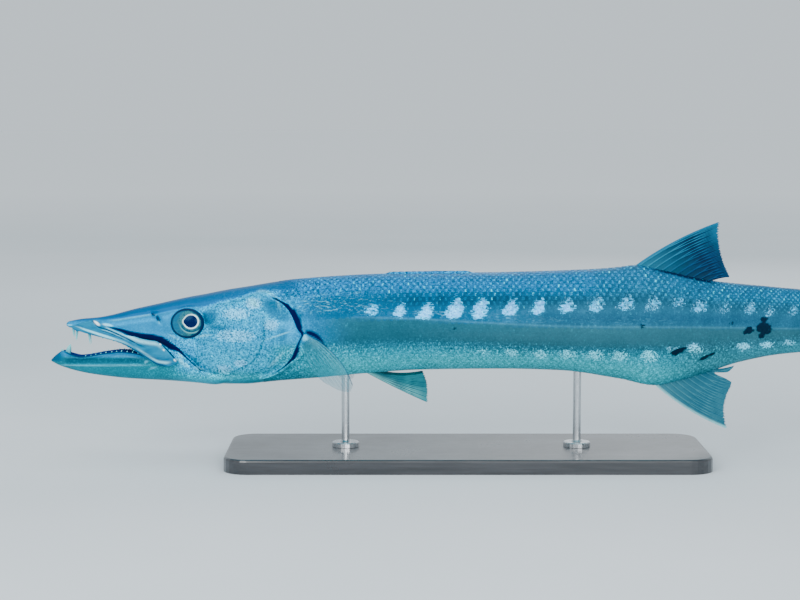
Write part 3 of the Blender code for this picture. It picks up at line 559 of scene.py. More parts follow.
def makeEye(side, word):
    pick()
    bpy.ops.mesh.primitive_uv_sphere_add(segments=eyeball["segments"], ring_count=eyeball["rings"])
    ball = bpy.context.active_object
    ball.name = ball.data.name = "eye" + word
    seat, out = flank(eyes["s"], eyes["h"])
    along = np.array([1.0, -out[0] / out[1], 0.0])
    along /= np.linalg.norm(along)
    up = np.cross(along, out)
    up *= np.sign(up[2])
    a, b, c = (readPoints(ball) * (eyeball["long"], eyeball["tall"], 1)).T
    fore, high = eyeball["pupilBack"] - a, b - eyeball["pupilUp"]
    pupil = np.hypot(fore / 1.06, high) - step(5.5, 8.5, fore) * fall(1, 4.5, np.abs(high))
    depth = c * eyeball["deep"] + 0.5 * fall(6.5, 9.5, pupil) * (c > 0) - eyeball["sunk"]
    points = seat + along * a[:, None] + up * b[:, None] + out * depth[:, None]
    points[:, 1] *= side
    setPoints(ball, toWorld(points))
    reach = np.maximum(np.hypot(fore, high), 0.5)
    put(ball, "pupil", pupil)
    put(ball, "rim", np.hypot(a / eyes["long"], b / eyes["tall"]))
    put(ball, "low", -high / reach)
    put(ball, "fore", fore / reach)
    closeUp(ball, 60)
    return ball


eyePieces = {side: makeEye(side, word) for side, word, _ in sides}
print("eyes made")

fangs = (  # way, inward lean of the tip; then s, distance out, length, backward lean and radius of each
    (-1, 0.4, ((8.6, 2.4, 12.2, 0.6, 1.25), (13.4, 3.2, 16, -1.6, 1.3), (28.2, 5, 19.5, 1.8, 1.15),
               (44, 6.8, 6, 1.5, 1.2), (58, 8.2, 5, 1.5, 1.1))),
    (1, 0.3, ((1.6, 4.2, 10.5, 1.6, 3.1), (-4.4, 2.6, 2.6, -2.4, 1.3))))
smallTeeth = (  # way, start, step, count, first and last length, root's depth, leans and radius
    (-1, 34.0, 6.4, 9, 1.2, 1.7, 1.5, 0.7, 0.2, 0.95), (1, 24.0, 6.6, 11, 1.3, 2.1, 2, 0.6, 0, 1.05))
tongueForm = {"front": 34.0, "rear": 118.0, "half": 6.5, "rise": 5.0}


def makeTooth():  # one blade, its root at the origin and its tip at z = 1
    pick()
    bpy.ops.mesh.primitive_cone_add(vertices=12, radius1=1, radius2=0.02, depth=1, location=(0, 0, 0.5))
    blade = bpy.context.active_object
    bpy.ops.object.transform_apply(location=True, rotation=False, scale=False)
    editAll()
    bpy.ops.mesh.subdivide(number_cuts=3)
    leaveEdit()
    at = readPoints(blade)
    up = np.clip(at[:, 2], 0, 1)
    swell = (1 - up) ** 0.62 / np.maximum(1 - up, 0.02)
    at[:, 0] = at[:, 0] * swell * (1 + 0.25 * np.sin(np.pi * up)) + 0.35 * up * up
    at[:, 1] = at[:, 1] * swell * 0.5
    setPoints(blade, at)
    return blade


def setTooth(pattern, root, tip, radius):
    root, tip = np.array(root, float), np.array(tip, float)
    length = np.linalg.norm(tip - root)
    upward = (tip - root) / length
    along = np.array([1.0, 0, 0]) - upward * upward[0]
    along /= np.linalg.norm(along)
    at = readPoints(pattern)
    points = root + at * (radius, radius, length) @ [along, np.cross(upward, along), upward]
    tooth = bpy.data.objects.new("tooth", pattern.data.copy())
    bpy.context.scene.collection.objects.link(tooth)
    setPoints(tooth, toWorld(points))
    put(tooth, "up", at[:, 2])
    return tooth


def makeTeeth():
    pattern = makeTooth()
    made = []
    for side in (-1, 1):
        for way, inward, row in fangs:
            for s, out, length, lean, radius in row:
                h = float(trunk["belly"](s)) + 3.5 if way < 0 else float(jaw["rim"](s)) - 4
                tip = (s + lean, side * (out - inward), h + way * (3 + length))
                made.append(setTooth(pattern, (s - lean * 0.3, side * out, h), tip, radius))
        for way, start, gap, count, short, long, sunk, lean, inward, radius in smallTeeth:
            for i in range(count):
                s = start + gap * i + rng.uniform(-0.5, 0.5)
                length = short + (long - short) * i / count + rng.uniform(-0.4, 0.4)
                out, h = float(jaw["half"](s)) - jaw["wall"] * 0.55, float(jaw["rim"](s))
                if way < 0:
                    out = float(trunk["half"](s) + lips["proud"](s) - lips["thick"](s) / 2)
                    h = float(lips["edge"](s))
                tip = (s + lean, side * (out - inward), h + way * length)
                made.append(setTooth(pattern, (s, side * out, h - way * sunk), tip, radius))
    row = joined(made)
    row.name = row.data.name = "teeth"
    bpy.data.objects.remove(pattern)
    smooth(row, 50)
    print("teeth:", len(made))
    return row


def tonguePlace(u, v):
    s = tongueForm["front"] + (tongueForm["rear"] - tongueForm["front"]) * v
    swell = np.maximum(np.sin(np.pi * (0.03 + 0.63 * v)), 0.05) ** 0.8
    across, up = np.cos(2 * np.pi * u), np.sin(2 * np.pi * u)
    y = tongueForm["half"] * swell * across
    h = jaw["floor"](s) - 0.4 + tongueForm["rise"] * swell * 0.5 * (1 + up)
    return np.stack([s, y, h - 0.7 * bump(y, 0, 1) * (up > 0)], axis=-1)


teethPiece = makeTeeth()
tonguePiece = tube("tonguePiece", 28, 44, tonguePlace)

# how proud the rays are, how thick the edge is and how far it is cut in between the rays
finLook = {"ridge": 0.42, "edge": 0.7, "notch": 0.018, "columnsPerRay": 14}


def rayLines(u, v, rays):  # 1 along the middle of a ray or of its branches, 0 on the web
    off = (u - (np.floor(np.clip(u, 0, 0.9999) * rays) + 0.5) / rays) * rays
    off = np.abs(np.abs(off) - 0.22 * step(0.28, 0.6, v))
    off = np.abs(off - 0.11 * step(0.58, 0.85, v))
    return np.exp(-((off / (0.16 - 0.1 * v)) ** 2))


def middlePlane(a, b, off):
    return np.stack([a, off, b], axis=-1)


def fin(name, form, base, edge, place=middlePlane, bow=None):
    # a web with raised rays; base(u) and edge(u) give its two ends, and place sets it on the fish
    rays, rows, thick = form["rays"], form["rows"], form["thick"]
    bow = bow or form["bow"]

    def spot(u, v, face):
        start, end = np.stack(base(u), -1), np.stack(edge(u), -1)
        along = (end - start) / np.linalg.norm(end - start, axis=1, keepdims=True)
        aside = np.stack([-along[:, 1], along[:, 0]], axis=-1)
        out = np.clip((v * rows - 1) / (rows - 1), 0, 1)
        line = rayLines(u, out, rays)
        out = out * (1 - finLook["notch"] * (1 - line) * 1.5 - 0.012 * np.abs(np.sin(u * rays * 7.1)))
        at = start + (end - start) * out[:, None] + aside * (bow(u) * 4 * out * (1 - out))[:, None]
        at = at + np.where(v[:, None] < 0.5 / rows, np.array(form["inward"], float), 0)
        half = (thick + (finLook["edge"] - thick) * out ** 0.6) / 2
        half = half + finLook["ridge"] * line * (1 - 0.6 * out) - 0.15 * (1 - line)
        return place(at[:, 0], at[:, 1], face * half * (0.55 + 0.45 * span(u, 0, 0.012, 0.988, 1)))

    piece = slab(name, rays * finLook["columnsPerRay"], rows, spot)
    across, along = (readNumbers(piece.data.attributes[key].data, "value") for key in ("across", "along"))
    put(piece, "ray", rayLines(across, np.clip((along * rows - 1) / (rows - 1), 0, 1), rays))
    return piece


# inward is how far the first row goes into the flesh
dorsal = {"rays": 10, "rows": 40, "inward": (0, -6), "start": 711.0, "end": 806.0, "line": "back",
          "bow": curve((0, 4.5), (1, 1)), "thick": 3.0,
          "edgeS": curve((0, 817), (0.2, 815.5), (0.45, 817), (0.7, 821), (1, 829.5)),
          "edgeH": curve((0, 130), (0.2, 116), (0.45, 99), (0.7, 81), (1, 60))}
anal = {"rays": 10, "rows": 38, "inward": (0, 6), "start": 737.0, "end": 812.0, "line": "belly",
        "bow": curve((0, -5), (1, -1)), "thick": 3.0,
        "edgeS": curve((0, 831), (0.15, 828), (0.35, 826), (0.6, 829), (0.83, 834.5), (0.875, 829),
                       (0.9, 814), (0.925, 812), (0.945, 828), (0.96, 831), (1, 838)),
        "edgeH": curve((0, -132.5), (0.15, -122), (0.35, -106), (0.6, -89), (0.83, -73),
                       (0.875, -69), (0.9, -62), (0.925, -60), (0.945, -60), (0.96, -58.5), (1, -51))}
tail = {"rays": 18, "rows": 44, "inward": (-12, 0), "middle": 5.0, "thick": 6.0,
        "bow": curve((0, 9), (0.5, 2.3), (1, 0)),
        "baseS": curve((0, 950), (0.5, 955), (1, 956)), "baseH": curve((0, 33), (1, 0)),
        "edgeS": curve((0, 1118), (0.25, 1080), (0.5, 1057), (0.72, 1050), (0.88, 1049), (1, 1036)),
        "edgeH": curve((0, 113), (0.25, 79), (0.5, 50), (0.72, 28), (0.88, 12), (1, 0))}
pelvic = {"rays": 6, "rows": 30, "inward": (0, -5), "start": 374.0, "base": 14.0, "thick": 2.2,
          "splay": math.radians(24), "bow": curve((0, 1), (1, 4)),
          "edgeS": curve((0, 79), (0.4, 79), (1, 73)), "edgeH": curve((0, 40), (0.4, 24), (1, 1))}
pectoral = {"rays": 9, "rows": 34, "inward": (-7, 0), "s": 303.0, "h": -14.0, "base": 13.0,
            "slant": math.radians(48), "spread": 0.3, "curl": 0.0022, "thick": 2.0,
            "bow": curve((0, -9), (0.4, -4), (1, 6)),
            "edgeS": curve((0, 80), (0.3, 83), (0.65, 75), (1, 54)),
            "edgeH": curve((0, -5), (0.3, 2), (0.65, 10), (1, 18))}
crest = {"start": 400.0, "end": 508.0, "half": 2.1, "spines": 5, "step": 11.0, "length": 58.0,
         "rise": curve((400, 0.6), (412, 2.4), (460, 2.6), (508, 0.6))}


def outerEdge(form):
    return lambda u: (form["edgeS"](u), form["edgeH"](u))


def makeMiddleFin(name, form):  # on the line of the back or of the belly
    def base(u):
        s = form["start"] + (form["end"] - form["start"]) * u
        return s, trunk[form["line"]](s)

    return fin(name, form, base, outerEdge(form))


def makeTail():  # both lobes in one web
    def lobe(sKey, hKey):
        def at(u):
            part, way = 1 - np.abs(1 - 2 * u), np.where(u <= 0.5, 1.0, -1.0)
            return tail[sKey](part), tail["middle"] + way * tail[hKey](part)

        return at

    def bow(u):
        return np.where(u <= 0.5, 1.0, -1.0) * tail["bow"](1 - np.abs(1 - 2 * u))

    return fin("tailFin", tail, lobe("baseS", "baseH"), lobe("edgeS", "edgeH"), bow=bow)


def makePelvic(side, word):
    middle = pelvic["start"] + pelvic["base"] / 2
    foot = flank(middle, float(trunk["belly"](middle)) + 1.2)[0]
    sin, cos = math.sin(pelvic["splay"]), math.cos(pelvic["splay"])

    def place(a, b, off):
        return np.stack([pelvic["start"] + a, side * (foot[1] + b * sin - off * cos),
                         foot[2] - b * cos - off * sin], axis=-1)

    return fin("pelvicFin" + word, pelvic, lambda u: (pelvic["base"] * u, 0 * u), outerEdge(pelvic), place)


def makePectoral(side, word):
    foot = flank(pectoral["s"], pectoral["h"])[0]
    sin, cos = math.sin(pectoral["slant"]), math.cos(pectoral["slant"])

    def place(a, b, off):
        away = pectoral["spread"] * a - pectoral["curl"] * a * a + off
        return np.stack([pectoral["s"] + a * cos - b * sin, side * (foot[1] + away),
                         pectoral["h"] - a * sin - b * cos], axis=-1)

    return fin("pectoralFin" + word, pectoral, lambda u: (0 * u, pectoral["base"] * (u - 0.5)),
               outerEdge(pectoral), place)


def crestPlace(u, v):  # the folded first dorsal fin lying in its groove
    s = crest["start"] + (crest["end"] - crest["start"]) * v
    ends = np.maximum(np.sin(np.pi * (0.06 + 0.88 * v)) ** 0.5, 0.2)
    across, up = np.cos(2 * np.pi * u), np.sin(2 * np.pi * u)
    fold = 0.45 * np.sin(s * 0.9 + 5 * up) * (up > 0.2) * ends
    h = trunk["back"](s) - 0.4 + np.where(up > 0, crest["rise"](s) + 0.5, 3.4) * up
    return np.stack([s, crest["half"] * ends * across + fold * np.sign(across), h], axis=-1)


def makeSpine(k):
    s = crest["start"] + 6 + crest["step"] * k
    tip = s + crest["length"] - 3 * k
    start = np.array([s, 0, float(trunk["back"](s)) - 0.5])
    way = np.array([tip, 0.6 * (-1) ** k, float(trunk["back"](tip) + crest["rise"](tip)) + 0.8]) - start
    pick()
    bpy.ops.mesh.primitive_cone_add(vertices=14, radius1=1.3, radius2=0.25, depth=1)
    spine = bpy.context.active_object
    editAll()
    bpy.ops.mesh.subdivide(number_cuts=5)
    leaveEdit()
    a, b, c = readPoints(spine).T
    up = np.cross(way / np.linalg.norm(way), (0, 1, 0))
    points = start + np.outer(c + 0.5, way) + np.outer(a, (0, 1, 0)) + np.outer(b, up)
    setPoints(spine, toWorld(points + np.outer(0.8 * (0.25 - c ** 2), (0, 0, 1))))
    closeUp(spine, 50)
    return spine


dorsalPiece, analPiece = makeMiddleFin("secondDorsalFin", dorsal), makeMiddleFin("analFin", anal)
tailPiece = makeTail()
pelvics = {side: makePelvic(side, word) for side, word, _ in sides}
pectorals = {side: makePectoral(side, word) for side, word, _ in sides}
crestPiece = joined([tube("firstDorsalFin", 30, 110, crestPlace)]
                    + [makeSpine(k) for k in range(crest["spines"])])
print("fins made")

marks = {  # s, h, half width, half height and strength of each pale patch
    "patches": np.array([
        (384, 24, 6, 7.5, 0.72), (419, 23, 6.5, 9, 0.85), (451, 22.5, 7.5, 10, 0.95),
        (487, 26.5, 8, 12, 1), (518.5, 26.5, 7.5, 12, 0.95), (555, 28, 7, 11, 1),
        (589.5, 28.5, 7, 10, 0.95), (625, 30, 7, 9.5, 1), (661, 31, 7.5, 9.5, 0.95),
        (698, 31.5, 8, 9.5, 0.9), (731.5, 31, 8.5, 9, 0.75), (764, 32.5, 8, 7.5, 0.6),
        (790, 27, 8, 8.5, 0.75), (820, 25, 7, 7, 0.55), (853, 24.5, 6.5, 7.5, 0.8),
        (877.5, 19.5, 5, 6.5, 0.7), (908, 20.5, 5, 6.5, 0.65), (928, 19, 4.5, 6, 0.6)]),
    "lowPatches": (
        (522, -28.5, 7, 4, 0.6), (558, -30.5, 8, 6, 0.75), (592, -32.8, 8, 6, 0.85),
        (627, -31.6, 8, 6.5, 0.9), (660, -33.3, 8, 7, 0.95), (691, -34.3, 8.5, 7, 1),
        (729, -34.8, 8.5, 7, 0.95), (757, -27, 6, 5, 0.75), (784, -24.5, 8, 6.5, 0.85),
        (846, -23.5, 8, 4.5, 1), (876, -22.2, 8, 4, 1), (903, -20, 6, 3.5, 0.9),
        (925, -18, 5, 3.5, 0.75)),
    "cheekPatches": (
        (217, 18, 17, 7, 0.82), (216, -9.5, 24, 8, 0.8), (260.4, 4.4, 9, 7, 0.9),
        (238, 30.5, 9.5, 6.5, 1.25), (222, -44, 8, 4.5, 1.1), (201, -52, 10, 6, 0.8)),
    "lateral": curve((285, 15.5), (377, 14.6), (448, 12.7), (499, 9.7), (560, 6.6), (642, 3.5),
                     (748, 2.1), (803, 0.7), (859, -0.7), (909, -2.3), (962, -3)),
    "bandLow": curve((300, -20), (376, -17.5), (458, -16), (540, -19.5), (643, -24), (750, -25),
                     (850, -17), (950, -12)),
    # s, h, half length, half height and slant of each dark blot, on the left and on the right
    "blots": {-1: ((868.5, 9.5, 4.6, 4.2, 0), (867, 2, 6.2, 4.6, 0.3), (870, -5, 7.2, 4.4, -0.2),
                   (866, -10.5, 4.8, 4, 0), (874, -2, 5, 6.5, 0), (863, -1, 4.5, 5, 0),
                   (850, -3.2, 5.4, 5, 0.4), (845, -6, 3.4, 3, 0),
                   (715, 3.4, 4.8, 2.6, -0.6), (828.2, 5.6, 2.6, 2.4, 0),
                   (758, -31, 5.2, 4.6, 0.3), (765, -27.5, 4.8, 4, 0.5), (769, -25, 2.8, 2.6, 0),
                   (795, -38, 6.4, 2.6, 0.5), (804, -33.6, 5.2, 2.2, 0.5),
                   (484, 1, 4.5, 1, 0.7), (481, -24, 2.6, 0.9, 0.3)),
              1: ((846, -6, 6, 5, 0.4), (851, -12, 4, 4, 0), (892, 1, 4, 5, 0),
                  (734, -28, 6, 4, 0.4), (690, 0, 4, 2.4, 0), (786, -33, 5, 2.6, 0.3))},
    # painted highlights: strength of each glare spot of the wet head, and the same five numbers
    "paintedGlares": ((1, 39.7, 3.4, 5, 2, -0.58), (1, 54, 1.5, 7.2, 1.7, -0.2), (0.8, 4.5, 0.4, 4.5, 1, 0),
               (0.9, 120.3, -21.2, 1.5, 1.4, 0), (0.7, 124.4, -28.4, 1.6, 1.2, -0.8),
               (1, 139.2, -40.6, 2.4, 1.8, 0), (1, 145.5, -35.6, 5.2, 1.5, -0.75),
               (0.6, 146, -43.5, 5.5, 2.6, -0.9), (0.55, 152, -48, 5, 2.4, -0.5),
               (0.7, 118.6, 6.4, 1.1, 3.2, 0.3), (0.6, 113.5, 14.6, 2.6, 0.9, -0.5),
               (0.5, 101.5, -44.5, 3, 1.6, 0.4), (0.35, 110, -52, 6, 1.2, 0.3),
               (0.6, 173, -10, 12, 1.6, 0.1), (1, 237, 31, 7.5, 3.8, -0.7),
               (0.5, 266, -9, 20, 1.1, 0.34), (0.45, 264, -40, 15, 2.4, 0.84),
               (0.5, 168, -52, 8, 2, -0.4), (0.4, 136, -12, 7, 1.2, -0.5)),
}


def axilLine(s):  # the fold over the root of the breast fin, whose line is painted dark as shade
    return np.interp(s, (298, 306, 313, 320, 326), (-3, -4.5, -7.5, -12.5, -21))


def patchRow(s, h, patches, lean, taper):
    total = np.zeros_like(s)
    for at, height, long, tall, strength in patches:
        up = (h - height) / tall
        r = np.abs((s - at - lean * (h - height)) / (long * (1 - taper * up))) ** 2.2 + np.abs(up) ** 2.4
        total = np.maximum(total, strength * fall(0.1, 1.9, r))
    return total


def paintedGlare(s, h):  # painted highlights: the glare of the wet head
    return np.maximum.reduce([strength * oval(s, h, spot, 0.5, 1.25) for strength, *spot in marks["paintedGlares"]])


def barMask(s, h, lateral, behind, plain):  # dark parts of the upper side, and dark spots of the head
    middles = marks["patches"][:, 0]
    phase = np.interp(s - 0.3 * (h - 27), middles, np.arange(len(middles)), left=-0.5, right=17.5)
    aft = step(560, 680, s)
    zone = step(-4, 1, h - lateral) * step(268, 330, s)
    zone = zone * fall(0.56 - 0.12 * aft, 0.78 - 0.14 * aft, h / trunk["back"](s))
    return np.maximum.reduce([
        zone * (0.9 - 0.1 * np.cos(2 * np.pi * phase)), 0.82 * plain,
        0.9 * oval(s, h, (183, 13, 12, 11, 0.5), 0.6, 1.15),
        0.75 * oval(s, h, (195, 1, 17, 4, -0.1), 0.5, 1.2),
        0.65 * oval(s, h, (274, -8, 9, 13, 0), 0.4, 1.2) * (behind < 0),
        0.9 * fall(-10, 1, s) * step(-47.5, -43, h) * (h < -20)])


def shadeAndDarkMask(s, h, lateral, behind, inCover, onJaw):  # painted shade in the clefts, folds, pits and along shaded edges, and a faint darker band below the pale patches
    far = gill["open"](h) + 1.8 * step(0, 14, h)
    fold = np.abs(h - axilLine(s)) / np.interp(s, (300, 306, 318, 327), (1.6, 3.6, 4.2, 1.5))
    rim = h - jaw["rim"](s)
    return np.maximum.reduce([
        inSlit(s, h), step(-0.3, 0.4, behind) * fall(far - 0.6, far + 0.8, behind) * inCover,
        fall(0.6, 1.2, fold) * step(299, 303, s) * (s < 327),
        0.9 * span(s, 712, 752, 804, 810) * fall(1.2, 2.6, trunk["back"](s) - h) * (h > 20),
        0.9 * fall(0.98, 1.06, eyeRadius(s, h)),
        0.6 * bump(s, gill["front"](h) + 1, 1.8) * inCover * fall(2, 20, h),
        0.85 * step(-2.8, -1.4, rim) * span(s, -6, 2, 104, 110) * onJaw,
        0.4 * step(-7, -3, rim) * span(s, -4, 6, 96, 108) * onJaw,
        0.2 * span(s, 540, 620, 840, 900) * bump(h, lateral + 10, 7),
        *(0.9 * fall(0.6, 1.1, inNostril(s, h, spot)) for spot in nostrils)])


def shineMask(s, h, lateral, rise, onJaw):  # painted highlights: bright lines along the jaw and brow, the arch over the gill cover, a spot on the knob at the breast fin's root and the glare; also the faint pale lateral line
    jawLine = bump(h, jaw["panel"](s) - 5.6, 0.7) * span(s, -14, 0, 88, 112) * onJaw
    jawTop = bump(h, jaw["topLine"](s), 0.8) * span(s, -4, 10, 98, 104) * onJaw
    browLine = 0.5 * bump(rise, -0.9, 1.1) * span(s, 50, 64, 104, 112)
    arch = 0.55 * bump(np.hypot(s - 246, (h - 24) * 1.1), 23, 1.5) * step(20, 32, h)
    arch = arch * span(s, 236, 246, 268, 276)
    return np.maximum.reduce([
        0.12 * bump(h, lateral, 1.2) * step(330, 400, s), 0.45 * jawLine, 0.14 * jawTop,
        0.7 * browLine, 0.7 * arch, oval(s, h, (301, -10.5, 3.8, 4.2, 0.4)), paintedGlare(s, h)])


def paintMasks(s, h, side):
    # how strongly each tone of the fish shows at a place
    high, lateral, low = h / trunk["back"](s), marks["lateral"](s), marks["bandLow"](s)
    rise, behind = h - ridges["brow"](s), s - gill["rear"](h)
    onBody, onJaw = step(250, 276, s), h < -30
    onHead = 1 - onBody
    top = onHead * step(-1.5, 2, rise) + onBody * step(0.5, 0.95, high)
    crown = fall(282, 300, s) * step(-1, 2, rise)
    jawed = fall(128, 160, s) * step(36, 42, -h)
    plain = oval(s, h, (266, 23, 22, 10.5, -0.68)) * (behind < 0)
    bars = barMask(s, h, lateral, behind, plain)
    band = step(280, 370, s) * step(-15, 6, h - low) * fall(-1.5, 3, h - lateral)
    under = onBody * fall(-8, 10, h - low) * (1 - 0.4 * step(800, 870, s)) + onHead * step(48, 64, -h)
    # painted light from below: the lower edge of the belly, and a little of the head's underside, made
    # lighter
    underLight = onBody * step(0.4, 0.9, h / trunk["belly"](s)) * step(290, 340, s)
    underLight = underLight * (1 - 0.45 * step(690, 780, s)) * (1 - 0.3 * bump(s, 415, 60))
    underLight = np.maximum(underLight, 0.15 * onHead * span(-h, 12, 46, 62, 70) * step(160, 200, s))
    # painted sparkle: fine pale specks over the belly
    bellySparkle = 0.23 * (1 - 0.4 * bump(s, 415, 60)) * onBody * under ** 1.6
    bellySparkle = bellySparkle * (1 - 0.5 * underLight) * (1 - 0.5 * step(640, 760, s))
    pale = patchRow(s, h, marks["patches"], 0.3, 0.42)
    flecky = 0.7 * step(590, 660, s)
    frost = np.maximum.reduce([patchRow(s, h, marks["lowPatches"], -0.35, 0), pale * flecky, bellySparkle,
                               patchRow(s, h, marks["cheekPatches"], 0.1, 0)])
    pale = pale * (1 - 0.75 * flecky)
    ink = np.maximum.reduce([oval(s, h, blot, 0.7, 1.2) * (side == way)
                             for way, blots in marks["blots"].items() for blot in blots])
    cheek = fall(270, 320, s) * (0.4 + 0.6 * step(135, 190, s - 0.3 * h)) * (1 - top) * (1 - 0.7 * under)
    speckled = step(112, 150, s - 0.9 * (h + 20)) * onHead * (1 - 0.9 * step(60, 68, -h))
    speckled = speckled * (1 - 0.85 * jawed) * (1 - 0.8 * plain)
    napeZone = span(s, 285, 300, 360, 440) * fall(0.62, 0.8, high)
    nape = onBody * fall(310, 400, s) * step(0.2, 0.5, high)
    # glint: how strongly the scales here carry painted glints
    glint = 0.8 * step(0.15, 0.62, high) + 0.3 * step(0.6, 0.9, high) + 0.2 * under
    glint = 0.05 + onBody * (glint + 0.6 * bump(h, lateral + 0.5, 2) * step(430, 520, s))
    glint = (glint * (1 - 0.7 * napeZone) + 0.15 * onBody * step(0.6, 0.85, high)) * (1 - 0.5 * nape)
    glint = np.maximum(glint, 0.95 * speckled * (1 - bars)) - 0.3 * bars * onBody
    glint = glint * (1 - crown) * (1 - 0.8 * band) * (1 - 0.12 * step(560, 740, s))
    # speck: how strong the mottling and the painted sparkle are
    speck = 0.12 + 0.88 * speckled + onBody * (0.2 + 0.3 * under + 0.25 * step(0.3, 0.8, high))
    speck = speck + 0.35 * nape + 0.3 * onBody * step(0.72, 0.92, high) * fall(520, 620, s)
    speck = speck * (1 - 0.9 * crown) * (1 - 0.7 * band * step(-6, 10, h - low))
    speck = np.maximum(speck * (1 - (0.95 - 0.35 * onBody) * bars), 0.8 * pale)
    start = 440 - 60 * step(5, 16, lateral - h)
    rear = step(start, start + 220, s) * (1 - 0.7 * under * fall(740, 800, s))
    rear = rear * (1 - (0.85 - 0.45 * step(620, 720, s)) * step(0.4, 0.7, high))
    lines = 0.85 * bump(h, lateral + 8.5, 2) + 0.5 * bump(h, lateral + 4.5, 1.2)
    lines = lines * step(400, 460, s) * (1 - 0.5 * step(520, 580, s) - 0.5 * step(720, 800, s))
    return {"top": top, "bars": bars, "pale": pale, "band": band, "under": under, "ink": ink,
            "cheek": cheek, "jawed": jawed, "crown": crown, "underLight": underLight, "rear": rear,
            "speck": speck, "frost": frost, "glint": np.clip(glint, 0.03, 1),
            "shadeAndDark": shadeAndDarkMask(s, h, lateral, behind, span(h, -66, -60, 36, 41), onJaw),
            "shine": shineMask(s, h, lateral, rise, onJaw),
            "panel": fall(3, 4.6, np.abs(h - jaw["panel"](s))) * span(s, -9, 4, 90, 112) * onJaw,
            "streak": np.maximum(0.75 * napeZone * step(2, 8, h - lateral), lines)}


def insideMouth(piece):  # walls of the mouth, told by the way they face
    s, y, h = fromWorld(piece)
    normal = readNumbers(piece.data.vertices, "normal", 3)
    belly, half, out, up = trunk["belly"](s), trunk["half"](s), np.abs(y), normal[:, 2]
    palate = (s < 118) & (h > -30) & (up < -0.45) & (out < half * 0.92) & (h < belly + 4)
    wall = (s >= 112) & (s < 172) & (up < -0.2) & (np.abs(h - belly) < 5)
    wall &= (out < half * 0.8) & (h > jaw["floor"](s) - 1)
    bowl = (s > -14) & (s < 170) & (h < -30) & (h > jaw["floor"](s) - 3) & (out < jaw["half"](s) - 0.9)
    bowl &= (normal[:, 1] * np.sign(y) < -0.15) | ((up > 0.25) & (out < jaw["half"](s) - 2.6))
    return palate | wall | bowl


def paintSkin():
    s, y, h = fromWorld(skin)
    for name, values in paintMasks(s, h, np.where(y < 0, -1, 1)).items():
        put(skin, name, values)
    put(skin, "mouth", insideMouth(skin))
    put(skin, "seed", np.full(len(s), 0.5))


def paintPlate(plate):  # painted shade in the grooves and along the lower edge, and painted highlights, of an upper jaw plate
    s, y, h = fromWorld(plate)
    top, edge, seam = (h - lips[key](s) for key in ("top", "edge", "seam"))
    underline = 0.7 * bump(edge, 1.3, 1) * span(s, 72, 84, 122, 132)
    streak = 0.45 * bump(seam, -8, 0.8) * span(s, 84, 92, 116, 126)
    put(plate, "groove", np.maximum.reduce([lipSeam(s, h), 0.8 * lipLine(s, h), underline, streak]))
    wide = np.interp(s, (12, 45, 88), (0.8, 1.6, 1.2))
    strip = fall(0.5, 1.5, np.abs(h - lips["strip"](s)) / wide) * span(s, 8, 20, 70, 94)
    put(plate, "highlight", np.maximum.reduce([
        strip * (0.5 + 0.5 * span(s, 16, 26, 56, 68)),
        0.7 * bump(seam, 2.2, 0.9) * span(s, 48, 56, 84, 96),
        0.6 * bump(seam, -1.5, 0.5) * span(s, 44, 50, 70, 80),
        0.75 * bump(top, -3.6, 2.2) * span(s, 66, 76, 112, 128),
        (0.5 + 0.3 * step(104, 118, s)) * bump(edge, 5, 1.6) * span(s, 84, 96, 126, 136)]))
    put(plate, "glare", paintedGlare(s, h))


paintSkin()
for plate in plates.values():
    paintPlate(plate)
print("markings painted")

# places across and along a scale, and its share of the full width at each place along
bigPlate = {"across": (-1, -0.72, -0.36, 0, 0.36, 0.72, 1), "along": (0, 0.35, 0.6, 0.8, 0.93, 1),
            "width": (0.8, 1, 0.94, 0.74, 0.48, 0.2)}
smallPlate = {"across": (-1, -0.52, 0, 0.52, 1), "along": (0, 0.36, 0.64, 0.87, 1),
              "width": (0.8, 1, 0.9, 0.6, 0.22)}
# lift is how high a scale's root, its tip and its crown are over the skin
bodyLook = {"start": 170.0, "end": 948.0, "split": 610, "rows": 31, "step": 7.9, "overlap": 1.5,
            "wide": 0.66, "fullAt": 555, "lift": (-0.32, 0.4, 0.2), "plate": bigPlate}
lineLook = {"start": 330.0, "step": 8.2, "long": 9.0, "wide": 1.7, "lift": (0.1, 0.6, 0.45),
            "plate": smallPlate}
headLook = {"start": 158.0, "end": 296.0, "step": 3.6, "row": 2.9, "overlap": 1.5, "wide": 0.62,
            "lift": (-0.3, 0.24, 0.1), "plate": smallPlate}
scaleThick = 0.2
ownShare = {"shadeAndDark": 0, "ink": 0.25, "pale": 0.35, "shine": 0}  # how far a scale has one value all over


